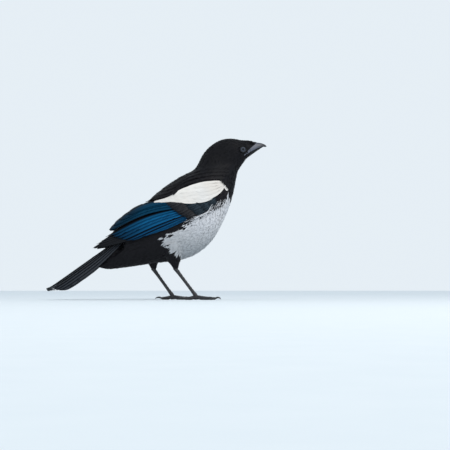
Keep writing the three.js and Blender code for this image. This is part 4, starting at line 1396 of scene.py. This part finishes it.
# Eyes. Each a wet ball with a grey-blue iris round a black pupil, in a rim of bare dark lid.
EYE_RADIUS = 4.1
eye_finish, eye_shader = new_material("wet_grey_blue_eye")
ring = add_node(eye_finish, "ShaderNodeAttribute", attribute_name="Ring")
iris = add_node(
    eye_finish, "ShaderNodeTexNoise",
    {"Vector": add_node(eye_finish, "ShaderNodeTexCoord").outputs["Object"], "Scale": 1800.0}
)
iris_colour = add_node(
    eye_finish, "ShaderNodeMix",
    {"Factor": iris.outputs["Fac"], "A": linear("#2b313d"), "B": linear("#4e5667")},
    data_type="RGBA"
).outputs["Result"]
pupil = add_node(
    eye_finish, "ShaderNodeMapRange",
    {"Value": ring.outputs["Fac"], "From Min": 1.75, "From Max": 1.95}
)
rim = add_node(
    eye_finish, "ShaderNodeMapRange",
    {"Value": ring.outputs["Fac"], "From Min": 2.7, "From Max": 3.0}
)
inner = add_node(
    eye_finish, "ShaderNodeMix",
    {"Factor": pupil.outputs[0], "A": linear("#020203"), "B": iris_colour}, data_type="RGBA"
).outputs["Result"]
eye_colour = add_node(
    eye_finish, "ShaderNodeMix", {"Factor": rim.outputs[0], "A": inner, "B": linear("#0a0a0d")},
    data_type="RGBA"
).outputs["Result"]
eye_finish.node_tree.links.new(eye_colour, eye_shader.inputs["Base Color"])
eye_shader.inputs["Roughness"].default_value = 0.3
eye_shader.inputs["Specular IOR Level"].default_value = 0.1
eye_shader.inputs["Coat Weight"].default_value = 0.45
eye_shader.inputs["Coat Roughness"].default_value = 0.03
lid_skin, lid_shader = new_material("bare_lid_skin")
lid_pores = add_node(
    lid_skin, "ShaderNodeTexNoise",
    {"Vector": add_node(lid_skin, "ShaderNodeTexCoord").outputs["Object"], "Scale": 2200.0}
)
lid_colour = add_node(
    lid_skin, "ShaderNodeMix",
    {"Factor": lid_pores.outputs["Fac"], "A": linear("#0c0c0f"), "B": linear("#1b1c21")},
    data_type="RGBA"
).outputs["Result"]
lid_skin.node_tree.links.new(lid_colour, lid_shader.inputs["Base Color"])
lid_shader.inputs["Roughness"].default_value = 0.5

for side, name in ((-1, "right"), (1, "left")):
    low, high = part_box(f"eye_{name}")
    middle = (low + high) / 2
    facing = Vector((0.2, side, 0.03)).normalized()
    ball = bmesh.new()
    bmesh.ops.create_uvsphere(ball, u_segments=40, v_segments=28, radius=EYE_RADIUS / 1000)
    turn = Vector((0, 0, 1)).rotation_difference(facing).to_matrix().to_4x4()
    bmesh.ops.transform(ball, matrix=Matrix.Translation(middle) @ turn, verts=ball.verts)
    eye_mesh = bpy.data.meshes.new(f"eyeball_{name}")
    ball.to_mesh(eye_mesh)
    ball.free()
    eye_mesh.polygons.foreach_set("use_smooth", [True] * len(eye_mesh.polygons))
    rings = eye_mesh.attributes.new("Ring", "FLOAT", "POINT")
    for i, v in enumerate(eye_mesh.vertices):
        out = v.co - middle
        ahead = out.dot(facing)
        away = (out - facing * ahead).length * 1000
        rings.data[i].value = away if ahead > 0 else 2 * EYE_RADIUS
    mesh_object(f"eyeball_{name}", eye_mesh, eye_finish, "eye", f"eye_{name}")

    lid = bmesh.new()
    bmesh.ops.create_circle(lid, segments=10, radius=0.00055)
    bmesh.ops.rotate(lid, verts=lid.verts, matrix=Matrix.Rotation(math.pi / 2, 3, "X"))
    bmesh.ops.translate(lid, verts=lid.verts, vec=(0.0036, 0, 0))
    bmesh.ops.spin(
        lid, geom=lid.verts[:] + lid.edges[:], axis=(0, 0, 1), cent=(0, 0, 0), angle=math.tau,
        steps=40, use_merge=True
    )
    bmesh.ops.remove_doubles(lid, verts=lid.verts, dist=1e-6)
    bmesh.ops.recalc_face_normals(lid, faces=lid.faces)
    for v in lid.verts:
        v.co.x *= 1.08
        v.co.y *= 0.94
    place = Matrix.Translation(middle + facing * 0.0021) @ turn
    bmesh.ops.transform(lid, matrix=place, verts=lid.verts)
    lid_mesh = bpy.data.meshes.new(f"lid_{name}")
    lid.to_mesh(lid_mesh)
    lid.free()
    lid_mesh.polygons.foreach_set("use_smooth", [True] * len(lid_mesh.polygons))
    mesh_object(f"lid_{name}", lid_mesh, lid_skin, "black_feathers")


# Legs and feet. Bare black shanks sheathed in overlapping plates in front, and toes with a plate
# to each short step above and soft pads below, ending in curved claws.
leg_horn, leg_shader = new_material("scaled_leg_skin")
leg_place = add_node(leg_horn, "ShaderNodeTexCoord").outputs["Object"]
leg_grain = add_node(leg_horn, "ShaderNodeTexNoise", {"Vector": leg_place, "Scale": 900.0})
leg_colour = add_node(
    leg_horn, "ShaderNodeMix",
    {"Factor": leg_grain.outputs["Fac"], "A": linear("#0c0c0e"), "B": linear("#2c2c30")},
    data_type="RGBA"
).outputs["Result"]
leg_horn.node_tree.links.new(leg_colour, leg_shader.inputs["Base Color"])
leg_relief = add_node(
    leg_horn, "ShaderNodeBump",
    {"Height": leg_grain.outputs["Fac"], "Strength": 0.25, "Distance": 0.0001}
)
leg_horn.node_tree.links.new(leg_relief.outputs[0], leg_shader.inputs["Normal"])
leg_shader.inputs["Roughness"].default_value = 0.38
claw_horn = horn_material("black_claw_horn", "#101013", "#26262b", -1, 0, 0.3)


def tube(path, radii, stations, sides, flatten=1.0, rise=None, pads=None):
    """Rings round a curved path: points and faces, closed at both ends."""
    line = catmull(path, 200)
    at = np.clip(np.array(stations), 0, 1)
    centre = np.stack([np.interp(at * 199, np.arange(200), line[:, k]) for k in range(3)], 1)
    slope = np.gradient(line, axis=0)
    along = np.stack([np.interp(at * 199, np.arange(200), slope[:, k]) for k in range(3)], 1)
    along /= np.linalg.norm(along, axis=1)[:, None]
    across = np.cross([0, 0, 1], along)
    across /= np.maximum(np.linalg.norm(across, axis=1), 1e-6)[:, None]
    up = np.cross(along, across)
    girth = through([(k / (len(radii) - 1), r) for k, r in enumerate(radii)], at)
    angle = np.linspace(0, math.tau, sides, endpoint=False)
    top, below = np.maximum(0, np.cos(angle)), np.maximum(0, -np.cos(angle))
    front = np.zeros(len(at)) if rise is None else rise
    under = np.zeros(len(at)) if pads is None else pads
    high = girth[:, None] * np.cos(angle) + front[:, None] * top - under[:, None] * below
    wide = girth[:, None] * flatten * np.sin(angle)
    points = centre[:, None] + up[:, None] * high[..., None] + across[:, None] * wide[..., None]
    points[..., 2] = np.maximum(points[..., 2], 0)
    rings = bmesh.new()
    loops = []
    for ring in points:
        verts = [rings.verts.new(p) for p in spots(ring)]
        loops.append([rings.edges.new((a, b)) for a, b in zip(verts, verts[1:] + verts[:1])])
    for first, second in zip(loops, loops[1:]):
        bmesh.ops.bridge_loops(rings, edges=first + second)
    bmesh.ops.holes_fill(rings, edges=rings.edges, sides=0)
    bmesh.ops.recalc_face_normals(rings, faces=rings.faces)
    return rings


def plated(count, height):
    """Stations along a limb and how far its front stands out there, in stepped plates."""
    stations, rises = [], []
    for i in range(count):
        for share, part in ((0, 0.75), (0.12, 1), (0.5, 0.8), (0.86, 0.3), (0.97, 0)):
            stations.append((i + share) / count)
            rises.append(part * height)
    return stations + [1], np.array(rises + [height * 0.5])


def joined(name, tubes, material, slot, *nodes):
    mesh = bpy.data.meshes.new(name)
    whole = bmesh.new()
    for part in tubes:
        part_mesh = bpy.data.meshes.new("part")
        part.to_mesh(part_mesh)
        part.free()
        whole.from_mesh(part_mesh)
        bpy.data.meshes.remove(part_mesh)
    whole.to_mesh(mesh)
    whole.free()
    mesh.polygons.foreach_set("use_smooth", [True] * len(mesh.polygons))
    return mesh_object(name, mesh, material, slot, *nodes)


SHANK_GIRTH = [2.9, 2.2, 2.0, 2.0, 2.1, 2.7]
TOES = {"inner": (-30, 19), "middle": (2, 26), "outer": (33, 20), "hind": (176, 15)}
for name, leg in LEGS.items():
    ankle, foot = np.array(leg["ankle"]), np.array(leg["foot"])
    stations, rises = plated(9, 0.4)
    top = ankle + (foot - ankle) * -0.08
    shank = tube([top, (ankle + foot) / 2, foot], SHANK_GIRTH, stations, 18, 0.82, rises)
    joined(f"scaled_shank_{name}", [shank], leg_horn, "leg_skin", f"shank_{name}")
    toes = []
    for toe, (heading, length) in TOES.items():
        turn = math.radians(heading) * leg["side"]
        ahead = np.array([math.cos(turn), math.sin(turn), 0])
        path = [
            foot * (1, 1, 0) + ahead * length * share + np.array([0, 0, height])
            for share, height in ((-0.05, 4.2), (0.25, 3), (0.6, 2), (1, 1.75))
        ]
        plates = max(5, round(length / 2.6))
        stations, rises = plated(plates, 0.28)
        bulge = 0.22 * np.sin(np.array(stations) * math.pi * 3) ** 2
        toes.append(tube(path, [2.6, 2.3, 2.1, 1.55], stations, 14, 0.95, rises, bulge))
        size = 9 if toe == "hind" else 7.5
        end = path[3]
        claw_path = [
            end * (1, 1, 0) + ahead * forward + np.array([0, 0, height]) for forward,
            height in ((-0.6, 1.9), (size * 0.35, 3.1), (size * 0.75, 2.5), (size, 0.4))
        ]
        claw = tube(claw_path, [1.25, 1.15, 0.8, 0.12], np.linspace(0, 1, 14), 12)
        joined(f"claw_{toe}_{name}_horn", [claw], claw_horn, "claw_horn", f"claw_{toe}_{name}")
    x, y, z = leg["foot"]
    pad_path = [(x, y, z + 0.5), (x + 0.4, y, z * 0.5), (x + 0.6, y, 0.4)]
    pad = tube(pad_path, [2.9, 3.3, 2.4], np.linspace(0, 1, 8), 16)
    joined(f"scaled_foot_{name}", toes + [pad], leg_horn, "leg_skin", f"foot_{name}")
